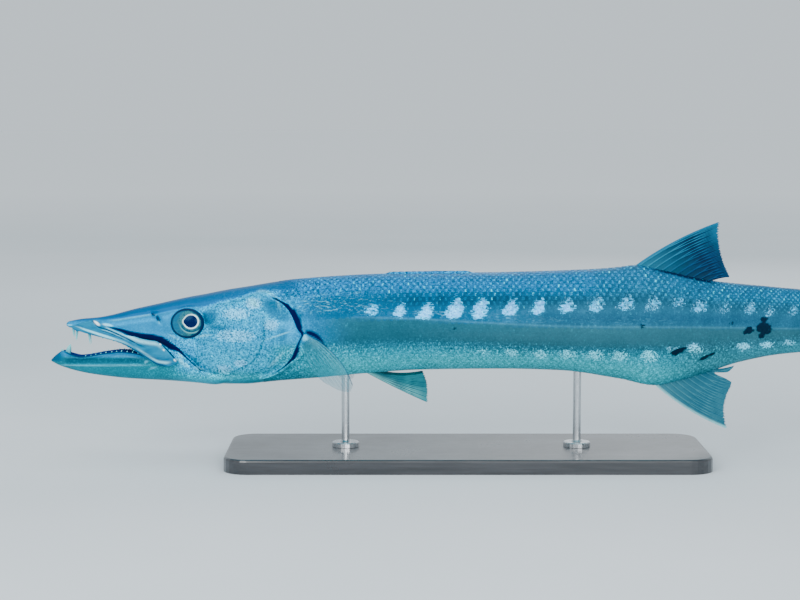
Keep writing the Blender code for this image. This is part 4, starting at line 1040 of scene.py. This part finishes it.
def scalePlates(name, side, s, share, long, wide, look):
    # one thin closed plate for each root, lying on the skin
    plate, (root, tip, crown) = look["plate"], look["lift"]
    count, columns, rows = len(s), len(plate["across"]), len(plate["along"])
    long, wide = long + np.zeros(count), wide + np.zeros(count)
    a, t = (x.ravel() for x in np.meshgrid(plate["across"], plate["along"]))
    inner = np.nonzero((np.abs(a) < 1) & (t > 0) & (t < 1))[0]
    bottomOf = np.arange(len(a))
    bottomOf[inner] = len(a) + np.arange(len(inner))
    bend = 1 - 0.14 * a * a * (t > 0.7)
    pa, pt, pw = (np.concatenate([x, x[inner]]) for x in (a, t * bend, np.repeat(plate["width"], columns)))
    drop = np.where(np.arange(len(pa)) < len(a), 0, scaleThick)
    tilt, roll, wobble = (rng.normal(0, spread, count)[:, None] for spread in (0.10, 0.07, 0.05))
    girth = girthAt(s)[:, None]
    sAt = s[:, None] + long[:, None] * (pt + wobble * pa * 0.5)
    shareHere = share[:, None] + pa * pw * wide[:, None] / girth
    keep = np.clip(shareHere, 0.0, 1.0)
    lift = root + (tip - root) * pt + crown * (1 - pa * pa) * np.sin(np.pi * np.clip(pt, 0, 1)) - drop
    points = onSkin(sAt.ravel(), keep.ravel(), side, (lift + tilt * pt + roll * pa * pt).ravel())
    points[:, 1] += side * ((shareHere - keep) * girth).ravel()  # over the back's ridge and under the keel
    k = (np.arange(rows - 1)[:, None] * columns + np.arange(columns - 1)).ravel()
    top = np.stack([k, k + 1, k + columns + 1, k + columns], axis=-1)
    faces = np.concatenate([top, bottomOf[top][:, ::-1]])[:, ::-side]
    corners = (faces[None] + np.arange(count)[:, None, None] * len(pa)).reshape(-1)
    mesh = bpy.data.meshes.new(name)
    mesh.vertices.add(count * len(pa))
    mesh.loops.add(len(corners))
    mesh.polygons.add(len(corners) // 4)
    mesh.polygons.foreach_set("loop_start", np.arange(0, len(corners), 4))
    mesh.loops.foreach_set("vertex_index", corners)
    mesh.vertices.foreach_set("co", toWorld(points).ravel())
    mesh.update(calc_edges=True)
    piece = bpy.data.objects.new(name, mesh)
    bpy.context.scene.collection.objects.link(piece)
    across = 0.02 + 0.96 * s[:, None] / trunk["length"] + (pt - 0.5) * 0.003
    up = (0.02 if side > 0 else 0.52) + 0.46 * share[:, None] + pa * np.maximum(pw, 0.3) * 0.0015
    uv = np.stack([across.ravel(), up.ravel()], axis=-1)[corners]
    uv[np.tile(np.repeat(np.arange(len(faces)) >= len(top), 4), count), 1] += 0.004
    mesh.uv_layers.new(name="OFBake").data.foreach_set("uv", uv.ravel())
    centreS = s + long * 0.68
    own = paintMasks(centreS, onSkin(centreS, share, side)[:, 2], np.full(count, side))
    exact = paintMasks(points[:, 0], points[:, 2], np.full(len(points), side))
    for key in own:
        shared = ownShare.get(key, 0.6)
        put(piece, key, shared * np.repeat(own[key], len(pa)) + (1 - shared) * exact[key])
    put(piece, "seed", np.repeat(rng.uniform(0, 1, count), len(pa)))
    put(piece, "out", np.tile(pt, count))
    put(piece, "side", np.tile(np.abs(pa), count))
    smooth(piece, 60)
    return piece


def scaleStep(s):  # scales are smaller where the body is slimmer
    return bodyLook["step"] * (0.42 + 0.58 * np.clip(girthAt(s) / halfGirth[bodyLook["fullAt"]], 0, 1.05))


def bodyRoots():  # rows along the body, each second one set back by half a step
    places = [bodyLook["start"]]
    while places[-1] < bodyLook["end"] + 4:
        places.append(places[-1] + float(scaleStep(places[-1])))
    places = np.array(places)
    found = []
    for row in range(bodyLook["rows"]):
        share = (row + 0.5) / bodyLook["rows"]
        at = places if row % 2 == 0 else (places[:-1] + places[1:]) / 2
        edge = float(gillEdge(share))
        height = lookUp(sideTable, np.array([edge]), np.array([share]))[0, 2]
        start = edge + 1.5 + float(gill["open"](height))
        nape = 225 + 40 * (1 - share / 0.16) if share < 0.16 else 0
        at = at[(at > max(start, nape)) & (at < bodyLook["end"])]
        found.append(np.stack([at, np.full(len(at), share)]))
    return np.concatenate(found, axis=1)


def makeBodyScales(side, word):
    s, share = bodyRoots()
    long, wide = scaleStep(s) * bodyLook["overlap"], girthAt(s) / bodyLook["rows"] * bodyLook["wide"]
    s = s + rng.normal(0, 0.3, len(s))
    share = share + rng.normal(0, 0.04, len(s)) / bodyLook["rows"]
    h = lookUp(sideTable, s, share)[:, 2]
    bare = (s > 286) & (s < 323) & (np.abs(h - axilLine(np.clip(s + 5, 298, 326))) < 9)
    front = s < bodyLook["split"]
    made = []
    for part, chosen in (("Front", ~bare & front), ("Rear", ~bare & ~front)):
        made.append(scalePlates("bodyScales" + word + part, side, s[chosen], share[chosen], long[chosen],
                                wide[chosen], bodyLook))
    lineS = np.arange(lineLook["start"], bodyLook["end"], lineLook["step"])
    lineShare = np.array([shareAt(x, float(marks["lateral"](x))) for x in lineS])
    line = scalePlates("lineScales" + word, side, lineS, lineShare, lineLook["long"], lineLook["wide"],
                       lineLook)
    print("scales", word, int((~bare).sum()), "+", len(lineS))
    return made, line


def makeHeadScales(side, word):
    s, share = [], []
    for column, place in enumerate(np.arange(headLook["start"], headLook["end"], headLook["step"] / 2)):
        gap = headLook["row"] / float(girthAt(place))
        shares = np.arange(0.12, 0.97, gap) + (column % 2) * gap / 2
        s.append(np.full(len(shares), place))
        share.append(shares)
    s, share = np.concatenate(s), np.concatenate(share)
    h = lookUp(sideTable, s, share)[:, 2]
    keep = (h < ridges["brow"](s) - 2 + 3 * step(232, 262, s)) & (h > -63)
    keep &= (eyeRadius(s, h) > 1.3) & (s < gill["rear"](h) - 6.5)
    keep &= h > slit["upper"](s + 2) + 4 - 9 * step(168, 190, s)
    keep &= s > 168 + 0.5 * np.clip(h + 10, 0, 30) - 0.25 * np.clip(-h - 10, 0, 40)
    s, share = s[keep], share[keep]
    s = s + rng.normal(0, 0.3, len(s))
    print("head scales", word, len(s))
    return scalePlates("headScales" + word, side, s, share, headLook["step"] * headLook["overlap"],
                       headLook["row"] * headLook["wide"], headLook)


bodyScales = {side: makeBodyScales(side, word) for side, word, _ in sides}
headScales = {side: makeHeadScales(side, word) for side, word, _ in sides}


def tone(r, g, b):  # a screen colour as Blender's linear one
    parts = [c / 255 for c in (r, g, b)]
    return tuple(c / 12.92 if c <= 0.04045 else ((c + 0.055) / 1.055) ** 2.4 for c in parts) + (1.0,)


# the shine tone, the sparkle tone and the light tone for the belly's lower edge are painted light; the dark
# tone is mostly painted shade in clefts and folds
tones = {
    "flank": tone(0, 112, 164), "top": tone(0, 112, 172), "bars": tone(0, 76, 114),
    "pale": tone(92, 184, 255), "halo": tone(0, 190, 240), "band": tone(24, 81, 98),
    "under": tone(12, 142, 166), "underLight": tone(64, 222, 238), "cheek": tone(0, 152, 203),
    "shadeAndDark": tone(0, 6, 60), "mouth": tone(0, 40, 110), "shine": tone(120, 226, 255),
    "paintedSparkle": tone(10, 232, 255), "ink": tone(0, 18, 40), "panel": tone(0, 80, 102),
    "jawed": tone(0, 114, 132), "crown": tone(0, 88, 140), "rear": tone(46, 94, 108),
    "frost": tone(110, 206, 255), "lowFrost": tone(110, 232, 255),
}
bench = {}  # the material, node tree and shader being built


def join(socket, value):  # a link or a set value
    if isinstance(value, bpy.types.NodeSocket):
        bench["tree"].links.new(value, socket)
    else:
        socket.default_value = value


def node(kind, inputs=(), out=0, **props):  # adds a node and gives its output
    made = bench["tree"].nodes.new(kind)
    for key, value in props.items():
        setattr(made, key, value)
    for key, value in dict(inputs).items():
        join(made.inputs[key], value)
    return made.outputs[out]


def numbers(*names):  # the numbers put on the points
    return [node("ShaderNodeAttribute", out="Fac", attribute_name=name) for name in names]


def blend(strength, a, b, way="MIX"):
    return node("ShaderNodeMix", {0: strength, 6: a, 7: b}, 2, data_type="RGBA", blend_type=way)


def layered(colour, *layers):  # each layer has a strength and a tone
    for strength, shade in layers:
        colour = blend(strength, colour, shade)
    return colour


def washed(colour, grey):
    return blend(1, colour, node("ShaderNodeCombineColor", {0: grey, 1: grey, 2: grey}), "MULTIPLY")


def maths(way, a, b, clamp=False):
    return node("ShaderNodeMath", {0: a, 1: b}, operation=way, use_clamp=clamp)


def times(a, b, clamp=False):
    return maths("MULTIPLY", a, b, clamp)


def plus(a, b):
    return maths("ADD", a, b)


def most(a, b, clamp=False):
    return maths("MAXIMUM", a, b, clamp)


def ramp(value, low, high, start=0, end=1):
    return node("ShaderNodeMapRange", {0: value, 1: low, 2: high, 3: start, 4: end})


def objectSpace(stretch=(1, 1, 1)):
    place = node("ShaderNodeTexCoord", out="Object")
    return node("ShaderNodeMapping", {"Vector": place, "Scale": stretch})


def noise(scale, detail, rough, stretch=(1, 1, 1), twist=0):
    return node("ShaderNodeTexNoise", {"Vector": objectSpace(stretch), "Scale": scale, "Detail": detail,
                                       "Roughness": rough, "Distortion": twist}, "Fac")


def makeFishPaint():  # colour, silver and roughness for the skin and the scales, with painted highlights, painted sparkle and painted shade in the colour
    tree = bpy.data.node_groups.new("fishPaint", "ShaderNodeTree")
    for way, kind, names in (("INPUT", "Float", ("Mottle", "Fleck")), ("OUTPUT", "Color", ("Color",)),
                             ("OUTPUT", "Float", ("Silver", "Wet"))):
        for name in names:
            tree.interface.new_socket(name, in_out=way, socket_type="NodeSocket" + kind)
    given, result = tree.nodes.new("NodeGroupInput").outputs, tree.nodes.new("NodeGroupOutput").inputs
    bench["tree"] = tree
    soft, fine, coarse = noise(38, 3, 0.55), noise(540, 2, 0.65), noise(290, 2, 0.6)
    keys = ("cheek", "top", "under", "underLight", "jawed", "crown", "band", "bars")
    masks = dict(zip(keys, numbers(*keys)))
    rear, pale, seed, frost, panel = numbers("rear", "pale", "seed", "frost", "panel")
    shine, streak, speck, ink, shadeAndDark, mouth = numbers("shine", "streak", "speck", "ink", "shadeAndDark", "mouth")
    # greyer and duller towards the tail, less so on the bars
    tailwardTint = times(rear, ramp(masks["bars"], 0, 1, 0.75, 0.45))
    torn = noise(400, 2.5, 0.65, (0.4, 1, 1.3))
    ragged = plus(times(pale, 1.3), ramp(torn, 0.25, 0.75, -0.95, 0.75))
    ragged = plus(ragged, ramp(seed, 0, 1, -0.22, 0.22))
    ragged = times(ragged, ramp(pale, 0.02, 0.2), True)
    frosty = plus(frost, ramp(fine, 0.25, 0.75, -0.75, 0.75))
    frosty = times(ramp(frosty, 0.34, 0.95), ramp(frost, 0, 0.3))
    lines = noise(460, 2, 0.6, (0.32, 1, 1.7))
    lines = times(ramp(lines, 0.57, 0.67), streak, True)
    colour = layered(
        tones["flank"], *((masks[key], tones[key]) for key in keys), (tailwardTint, tones["rear"]),
        (times(frosty, 0.85), blend(masks["under"], tones["frost"], tones["lowFrost"])),
        (ramp(ragged, 0.35, 0.6, 0, 0.8), tones["halo"]), (ramp(ragged, 0.55, 1), tones["pale"]),
        (times(panel, 0.95), tones["panel"]), (times(shine, 0.85), tones["shine"]),
        (times(lines, 0.5), tones["shine"]))
    colour = blend(given["Mottle"], colour, washed(colour, ramp(soft, 0.3, 0.7, 0.82, 1.18)))
    both = plus(times(fine, 0.75), times(coarse, 0.25))
    colour = washed(colour, plus(1, times(ramp(both, 0.39, 0.625, -0.5, 1.2), speck)))
    # bright specks of painted sparkle
    paintedSparkles = times(times(ramp(both, 0.52, 0.66), given["Fleck"], True), speck, True)
    smudge = ramp(plus(ink, ramp(fine, 0.2, 0.8, -0.3, 0.3)), 0.25, 0.7)
    smudge = times(smudge, ramp(ink, 0.02, 0.2), True)
    # painted sparkle, then the ink blots, the dark layer (mostly painted shade in the clefts, folds and
    # pits) and the mouth's walls
    colour = layered(colour, (paintedSparkles, tones["paintedSparkle"]), (smudge, tones["ink"]), (shadeAndDark, tones["shadeAndDark"]),
                     (mouth, tones["mouth"]))
    silver = maths("SUBTRACT", 0.62, times(masks["top"], 0.25))
    for dull in (smudge, shadeAndDark, mouth):
        silver = maths("SUBTRACT", silver, dull, True)
    wet = plus(ramp(soft, 0.3, 0.7, 0.9, 1.1), times(most(shadeAndDark, mouth), 1.4))
    for name, value in (("Color", colour), ("Silver", silver), ("Wet", wet)):
        join(result[name], value)
    return tree


fishPaint = makeFishPaint()


def startMaterial(name):
    made = bpy.data.materials.new(name)
    made.use_nodes = True
    bench.update(made=made, tree=made.node_tree, shader=made.node_tree.nodes["Principled BSDF"])


def usePaint(**values):
    made = bench["tree"].nodes.new("ShaderNodeGroup")
    made.node_tree = fishPaint
    for key, value in values.items():
        made.inputs[key].default_value = value
    return [made.outputs[key] for key in ("Color", "Silver", "Wet")]


def fit(colour, rough, relief=None, gloss=None, tint=(0.25, 0.78, 1, 1), others=()):
    # the shader's own sockets; relief is a height, its strength and its distance, and gloss with its
    # tint gives weak, blue reflections
    values = {"Base Color": colour, "Roughness": rough, **dict(others)}
    if relief:
        values["Normal"] = node("ShaderNodeBump", dict(zip(("Height", "Strength", "Distance"), relief)))
    if gloss:
        values.update({"Specular IOR Level": gloss, "Specular Tint": tint})
    for key, value in values.items():
        join(bench["shader"].inputs[key], value)
    return bench["made"]


def makeSkinMaterial():
    startMaterial("wetSkin")
    colour, silver, wet = usePaint(Mottle=0.6, Fleck=0.8)
    height = plus(times(noise(900, 2, 0.6), 0.35), noise(120, 4, 0.6, (0.5, 1, 1.4)))
    return fit(colour, times(wet, 0.42), (height, 0.35, 0.0006), 0.14,
               others={"Metallic": times(silver, 0.45)})


def makeScaleMaterial(name, contrast, metal, gain, paintedSparkle):
    startMaterial(name)
    plain, silver, wet = usePaint(Mottle=0.4, Fleck=paintedSparkle)
    seed, out, side, glint, under = numbers("seed", "out", "side", "glint", "under")
    # painted glint: a bright spot and rim towards each scale's tip; painted shade: darker at the scale's
    # edges and root, in the gaps between scales, with a small random tone per scale
    spot = times(ramp(out, 0.5, 0.66), ramp(out, 0.8, 0.94, 1, 0))
    spot = times(spot, ramp(side, 0.1, 0.75, 1, 0), True)
    rim = times(ramp(out, 0.8, 0.93), ramp(side, 0.3, 0.6, 0.12, 0.34))
    chance = ramp(maths("POWER", seed, 1.5), 0, 1, 0.42, gain)
    glintStrength = times(times(most(spot, rim), chance), glint)
    gap = most(ramp(side, 0.5, 0.85), ramp(out, 0.5, 0.35))
    shade = plus(ramp(gap, 0, 1, 1.06, 1 - 0.34 * contrast), ramp(seed, 0, 1, -0.08, 0.08))
    clear = most(ramp(glint, 0.05, 0.5), times(under, 0.6))
    colour = layered(plain, (clear, washed(plain, shade)),
                     (ramp(glintStrength, 0.06, 0.6, 0, 0.95), tones["paintedSparkle"]))
    rings = noise(700, 2, 0.5, (2.2, 1, 0.6))
    return fit(colour, times(wet, ramp(seed, 0, 1, 0.38, 0.58)), (rings, 0.3, 0.0002), 0.18,
               others={"Metallic": times(silver, metal)})


def makeLipMaterial():
    startMaterial("jawPlate")
    streak, fine = noise(70, 3, 0.6, (0.35, 1, 2)), noise(420, 3, 0.6)
    highlight, glare, groove = numbers("highlight", "glare", "groove")
    # pale is the painted highlight strip and lines, glare the painted glare and groove the painted shade in
    # the plate's grooves
    pale = times(highlight, ramp(fine, 0.25, 0.5, 0.75, 1), True)
    colour = layered(tone(0, 124, 162), (ramp(streak, 0.38, 0.66), tone(0, 92, 130)),
                     (pale, tone(150, 235, 255)), (glare, tone(235, 250, 255)), (groove, tone(0, 24, 74)))
    return fit(colour, ramp(fine, 0.3, 0.7, 0.3, 0.44), (plus(fine, streak), 0.3, 0.0005), 0.24,
               others={"Metallic": 0.2})


def makeEyeMaterial():
    startMaterial("eyeGlass")
    pupil, rim, low, fore = numbers("pupil", "rim", "low", "fore")
    clouds, spokes = noise(220, 3, 0.6), noise(900, 2, 0.6)
    lower = ramp(low, 0, 0.6)

    def arc(start, end, strength, soft=0.5):
        inner = ramp(pupil, start - soft, start + soft)
        return times(times(inner, ramp(pupil, end - soft, end + soft, 1, 0)), strength)

    crescent = times(ramp(fore, 0.35, 0.9), ramp(pupil, 12, 17, 0, 0.8))
    bright = ramp(most(lower, ramp(fore, 0.1, -0.7), True), 0, 1, 0.7, 1)
    colour = layered(
        tone(0, 64, 92), (ramp(clouds, 0.35, 0.65), tone(40, 112, 118)),
        (ramp(spokes, 0.5, 0.75, 0, 0.4), tone(120, 180, 176)),
        (arc(11.8, 12.9, lower), tone(0, 62, 90)), (arc(13.6, 14.8, lower), tone(100, 170, 176)),
        (crescent, tone(12, 92, 130)), (ramp(rim, 0.9, 0.97), tone(0, 30, 68)),
        (arc(7.8, 9.3, bright, 0.3), tone(226, 246, 246)), (ramp(pupil, 7.4, 7.8, 1, 0), tone(0, 8, 66)))
    return fit(colour, ramp(pupil, 7.4, 7.7, 0.2, 0.36), (spokes, 0.12, 0.0003), 0.16)


def makeToothMaterial():
    startMaterial("toothIvory")
    grain = noise(500, 3, 0.6, (3, 3, 0.6))
    colour = layered(tone(20, 120, 150), (ramp(*numbers("up"), 0.05, 0.8), tone(110, 206, 210)),
                     (ramp(grain, 0.4, 0.7, 0, 0.4), tone(60, 170, 186)))
    return fit(colour, ramp(grain, 0.3, 0.7, 0.16, 0.3), (grain, 0.2, 0.0003), 0.35, (0.6, 0.9, 1, 1),
               {"Subsurface Weight": 0.15, "Subsurface Radius": (0.001, 0.002, 0.003)})


def makeTongueMaterial():
    startMaterial("tongueFlesh")
    grain = noise(500, 4, 0.6)
    colour = blend(ramp(grain, 0.35, 0.65), tone(0, 70, 104), tone(24, 112, 140))
    return fit(colour, ramp(grain, 0.3, 0.7, 0.3, 0.44), (grain, 0.4, 0.0006), 0.4)


finTones = {  # web, rays, tip, front of the foot; where the tip's tone starts and how solid the web is
    "darkFin": ((0, 2, 40), (0, 62, 104), (14, 104, 138), (34, 132, 160), 0.92, 1),
    "greyFin": ((22, 82, 104), (58, 122, 138), (150, 214, 220), (66, 126, 138), 1.2, 0.97),
    "clearFin": ((0, 60, 78), (40, 142, 150), (30, 118, 130), (150, 232, 230), 0.97, 0.97),
    "paddleFin": ((10, 110, 134), (40, 150, 170), (0, 70, 110), (130, 220, 232), 0.97, 0.1),
    "tailFin": ((0, 50, 82), (10, 104, 132), (80, 164, 184), (4, 96, 124), 0.93, 1),
}


def makeFinMaterial(name):
    *shades, tipStart, solid = finTones[name]
    web, ray, edge, foot = (tone(*shade) for shade in shades)
    startMaterial(name)
    line, out, front = numbers("ray", "along", "across")
    clouds, fine = noise(70, 4, 0.6), noise(900, 2, 0.6)
    base = times(ramp(out, 0, 0.6, 0.5, 0), ramp(front, 0.1, 0.7, 1, 0.1))
    strength = times(ramp(line, 0.4, 0.9, 0, 0.95), ramp(clouds, 0.3, 0.6, 0.5, 1))
    bright = times(ramp(front, 0.08, 0.55, 1, 0), ramp(out, 0.3, 1, 1, 0.5))
    tip = ramp(plus(out, times(clouds, 0.12)), tipStart, tipStart + 0.17)
    tip = times(tip, ramp(front, 0.15, 0.55, 1, 0.15))
    colour = layered(web, (ramp(clouds, 0.35, 0.7, 0, 0.3), ray), (base, foot),
                     (strength, blend(bright, ray, foot)), (tip, edge),
                     (ramp(front, 0.02, 0.07, 0.8, 0), edge))
    others = {}
    if solid < 1:
        cover = most(ramp(line, 0.4, 0.95), ramp(out, 0, 0.25, 1, 0))
        cover = most(cover, ramp(front, 0.02, 0.08, 1, 0))
        others["Alpha"] = ramp(cover, 0, 1, solid, min(1, solid + 0.45))
    joints = node("ShaderNodeTexWave", {"Vector": objectSpace(), "Scale": 160, "Distortion": 3}, "Fac",
                  bands_direction="Z")
    height = plus(plus(times(line, 0.5), times(times(joints, line), 0.3)), times(fine, 0.3))
    return fit(colour, ramp(clouds, 0.3, 0.7, 0.45, 0.62), (height, 0.4, 0.0005), 0.22, others=others)


def makeLacquer():
    startMaterial("blackLacquer")
    grain = noise(14, 6, 0.65, (0.6, 9, 9), 0.6)
    pores, worn = noise(160, 3, 0.6, (0.12, 4, 4)), noise(9, 5, 0.6)
    colour = layered(tone(30, 32, 36), (ramp(grain, 0.35, 0.7), tone(54, 54, 58)),
                     (ramp(pores, 0.56, 0.7, 0, 0.6), tone(18, 18, 20)))
    return fit(colour, ramp(worn, 0.3, 0.7, 0.24, 0.4), (plus(grain, pores), 0.18, 0.0004),
               others={"Coat Weight": 0.5, "Coat Roughness": 0.12})


def makeSteel():
    startMaterial("brushedSteel")
    brushed, smudge = noise(700, 3, 0.6, (1, 1, 0.03)), noise(60, 3, 0.6)
    colour = blend(ramp(brushed, 0.3, 0.7), tone(176, 180, 184), tone(206, 208, 210))
    rough = plus(ramp(brushed, 0.3, 0.7, 0.2, 0.3), ramp(smudge, 0.4, 0.7, 0, 0.12))
    return fit(colour, rough, (brushed, 0.15, 0.0002), others={"Metallic": 1})


def makeFloorMaterial():
    startMaterial("paleFloor")
    far = node("ShaderNodeVectorMath", {0: objectSpace()}, "Value", operation="LENGTH")
    colour = layered(tone(208, 216, 220), (ramp(noise(1.2, 4, 0.5), 0.35, 0.65), tone(216, 222, 226)),
                     (ramp(far, 1.2, 7), tone(253, 254, 254)))
    return fit(colour, 0.85, others={"Specular IOR Level": 0.2})


def finish(piece, material, slotName, *nodes):
    piece.data.materials.clear()
    piece.data.materials.append(material)
    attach(piece, "root")
    if nodes:
        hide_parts(*nodes)


wetSkin = makeSkinMaterial()
bigScale = makeScaleMaterial("bodyScale", 1.15, 0.5, 2.8, 0.16)
smallScale = makeScaleMaterial("headScale", 1.0, 0.5, 1.2, 0.7)
lineScale = makeScaleMaterial("lateralLineScale", 0.7, 0.7, 1.0, 0.16)
jawPlate, eyeGlass, toothIvory = makeLipMaterial(), makeEyeMaterial(), makeToothMaterial()
darkFin, greyFin, clearFin, paddleFin, tailFinish = (makeFinMaterial(name) for name in finTones)
finish(skin, wetSkin, "skin_head", "head", "gill_cover_left", "gill_cover_right", "lower_jaw",
       "torso_front", "torso_rear", "tail_base", "tail_stalk")
for side, word, low in sides:
    body, line = bodyScales[side]
    for piece in body:
        finish(piece, bigScale, "skin_body")
    finish(line, lineScale, "skin_body")
    finish(headScales[side], smallScale, "skin_head")
    finish(plates[side], jawPlate, "skin_jaw", "upper_jaw_" + low)
    finish(eyePieces[side], eyeGlass, "eye", "eye_" + low)
    finish(pelvics[side], clearFin, "fin", "pelvic_fin_" + low)
    finish(pectorals[side], paddleFin, "fin", "pectoral_fin_" + low)
finish(teethPiece, toothIvory, "skin_jaw")
finish(tonguePiece, makeTongueMaterial(), "mouth", "tongue")
finish(dorsalPiece, darkFin, "fin", "dorsal_fin_second")
finish(analPiece, greyFin, "fin", "anal_fin")
finish(tailPiece, tailFinish, "fin", "tail_fin_upper", "tail_fin_lower")
finish(crestPiece, darkFin, "fin", "dorsal_fin_first")
lacquer, steel = makeLacquer(), makeSteel()
for name, material in (("stand_base", lacquer), ("stand_rod_front", steel), ("stand_rod_rear", steel)):
    for holder in frame["nodes"][name].material_slots:
        holder.material = material
print("materials placed")

studio = {"target": (-0.0835, 0, 0.20325), "distance": 2.4, "above": math.radians(6), "lens": 86.4}
lamps = (  # name, place, aim, size, power and colour
    ("key", (-1.3, -2.4, 1.5), (-0.1, 0, 0.2), 1.7, 54, (0.96, 0.99, 1.0)),
    ("overhead", (0.2, -0.2, 2.6), (0, 0, 0.2), 2.4, 20, (0.97, 0.99, 1.0)),
    ("front", (0.7, -3.0, 0.85), (0.1, 0, 0.16), 1.5, 56, (0.96, 0.99, 1.0)),
    ("rim", (0.6, 2.4, 1.6), (0, 0, 0.25), 1.6, 14, (1, 1, 1)))
pick()
bpy.ops.mesh.primitive_circle_add(vertices=96, radius=25, fill_type="TRIFAN", location=(0, 0, 0))
floor = bpy.context.active_object
floor.name = floor.data.name = "floor"
floor.data.materials.append(makeFloorMaterial())


def place(name, data, spot, way):
    thing = bpy.data.objects.new(name, data)
    thing.location, thing.rotation_euler = spot, way.to_track_quat("-Z", "Y").to_euler()
    bpy.context.scene.collection.objects.link(thing)
    return thing


for name, spot, aim, size, power, colour in lamps:
    light = bpy.data.lights.new(name, "AREA")
    light.shape, light.size, light.energy, light.color = "DISK", size, power, colour
    place(name, light, spot, Vector(aim) - Vector(spot))
world = bpy.data.worlds.new("studio")
world.use_nodes = True
background = world.node_tree.nodes["Background"].inputs
background[0].default_value, background[1].default_value = (0.78, 0.88, 0.95, 1), 0.95
bpy.context.scene.world = world
cameraData = bpy.data.cameras.new("camera")
cameraData.lens, cameraData.sensor_width = studio["lens"], 36
away = Vector((0, -math.cos(studio["above"]), math.sin(studio["above"])))
eye = Vector(studio["target"]) + away * studio["distance"]
bpy.context.scene.camera = place("camera", cameraData, eye, -away)

print("done")
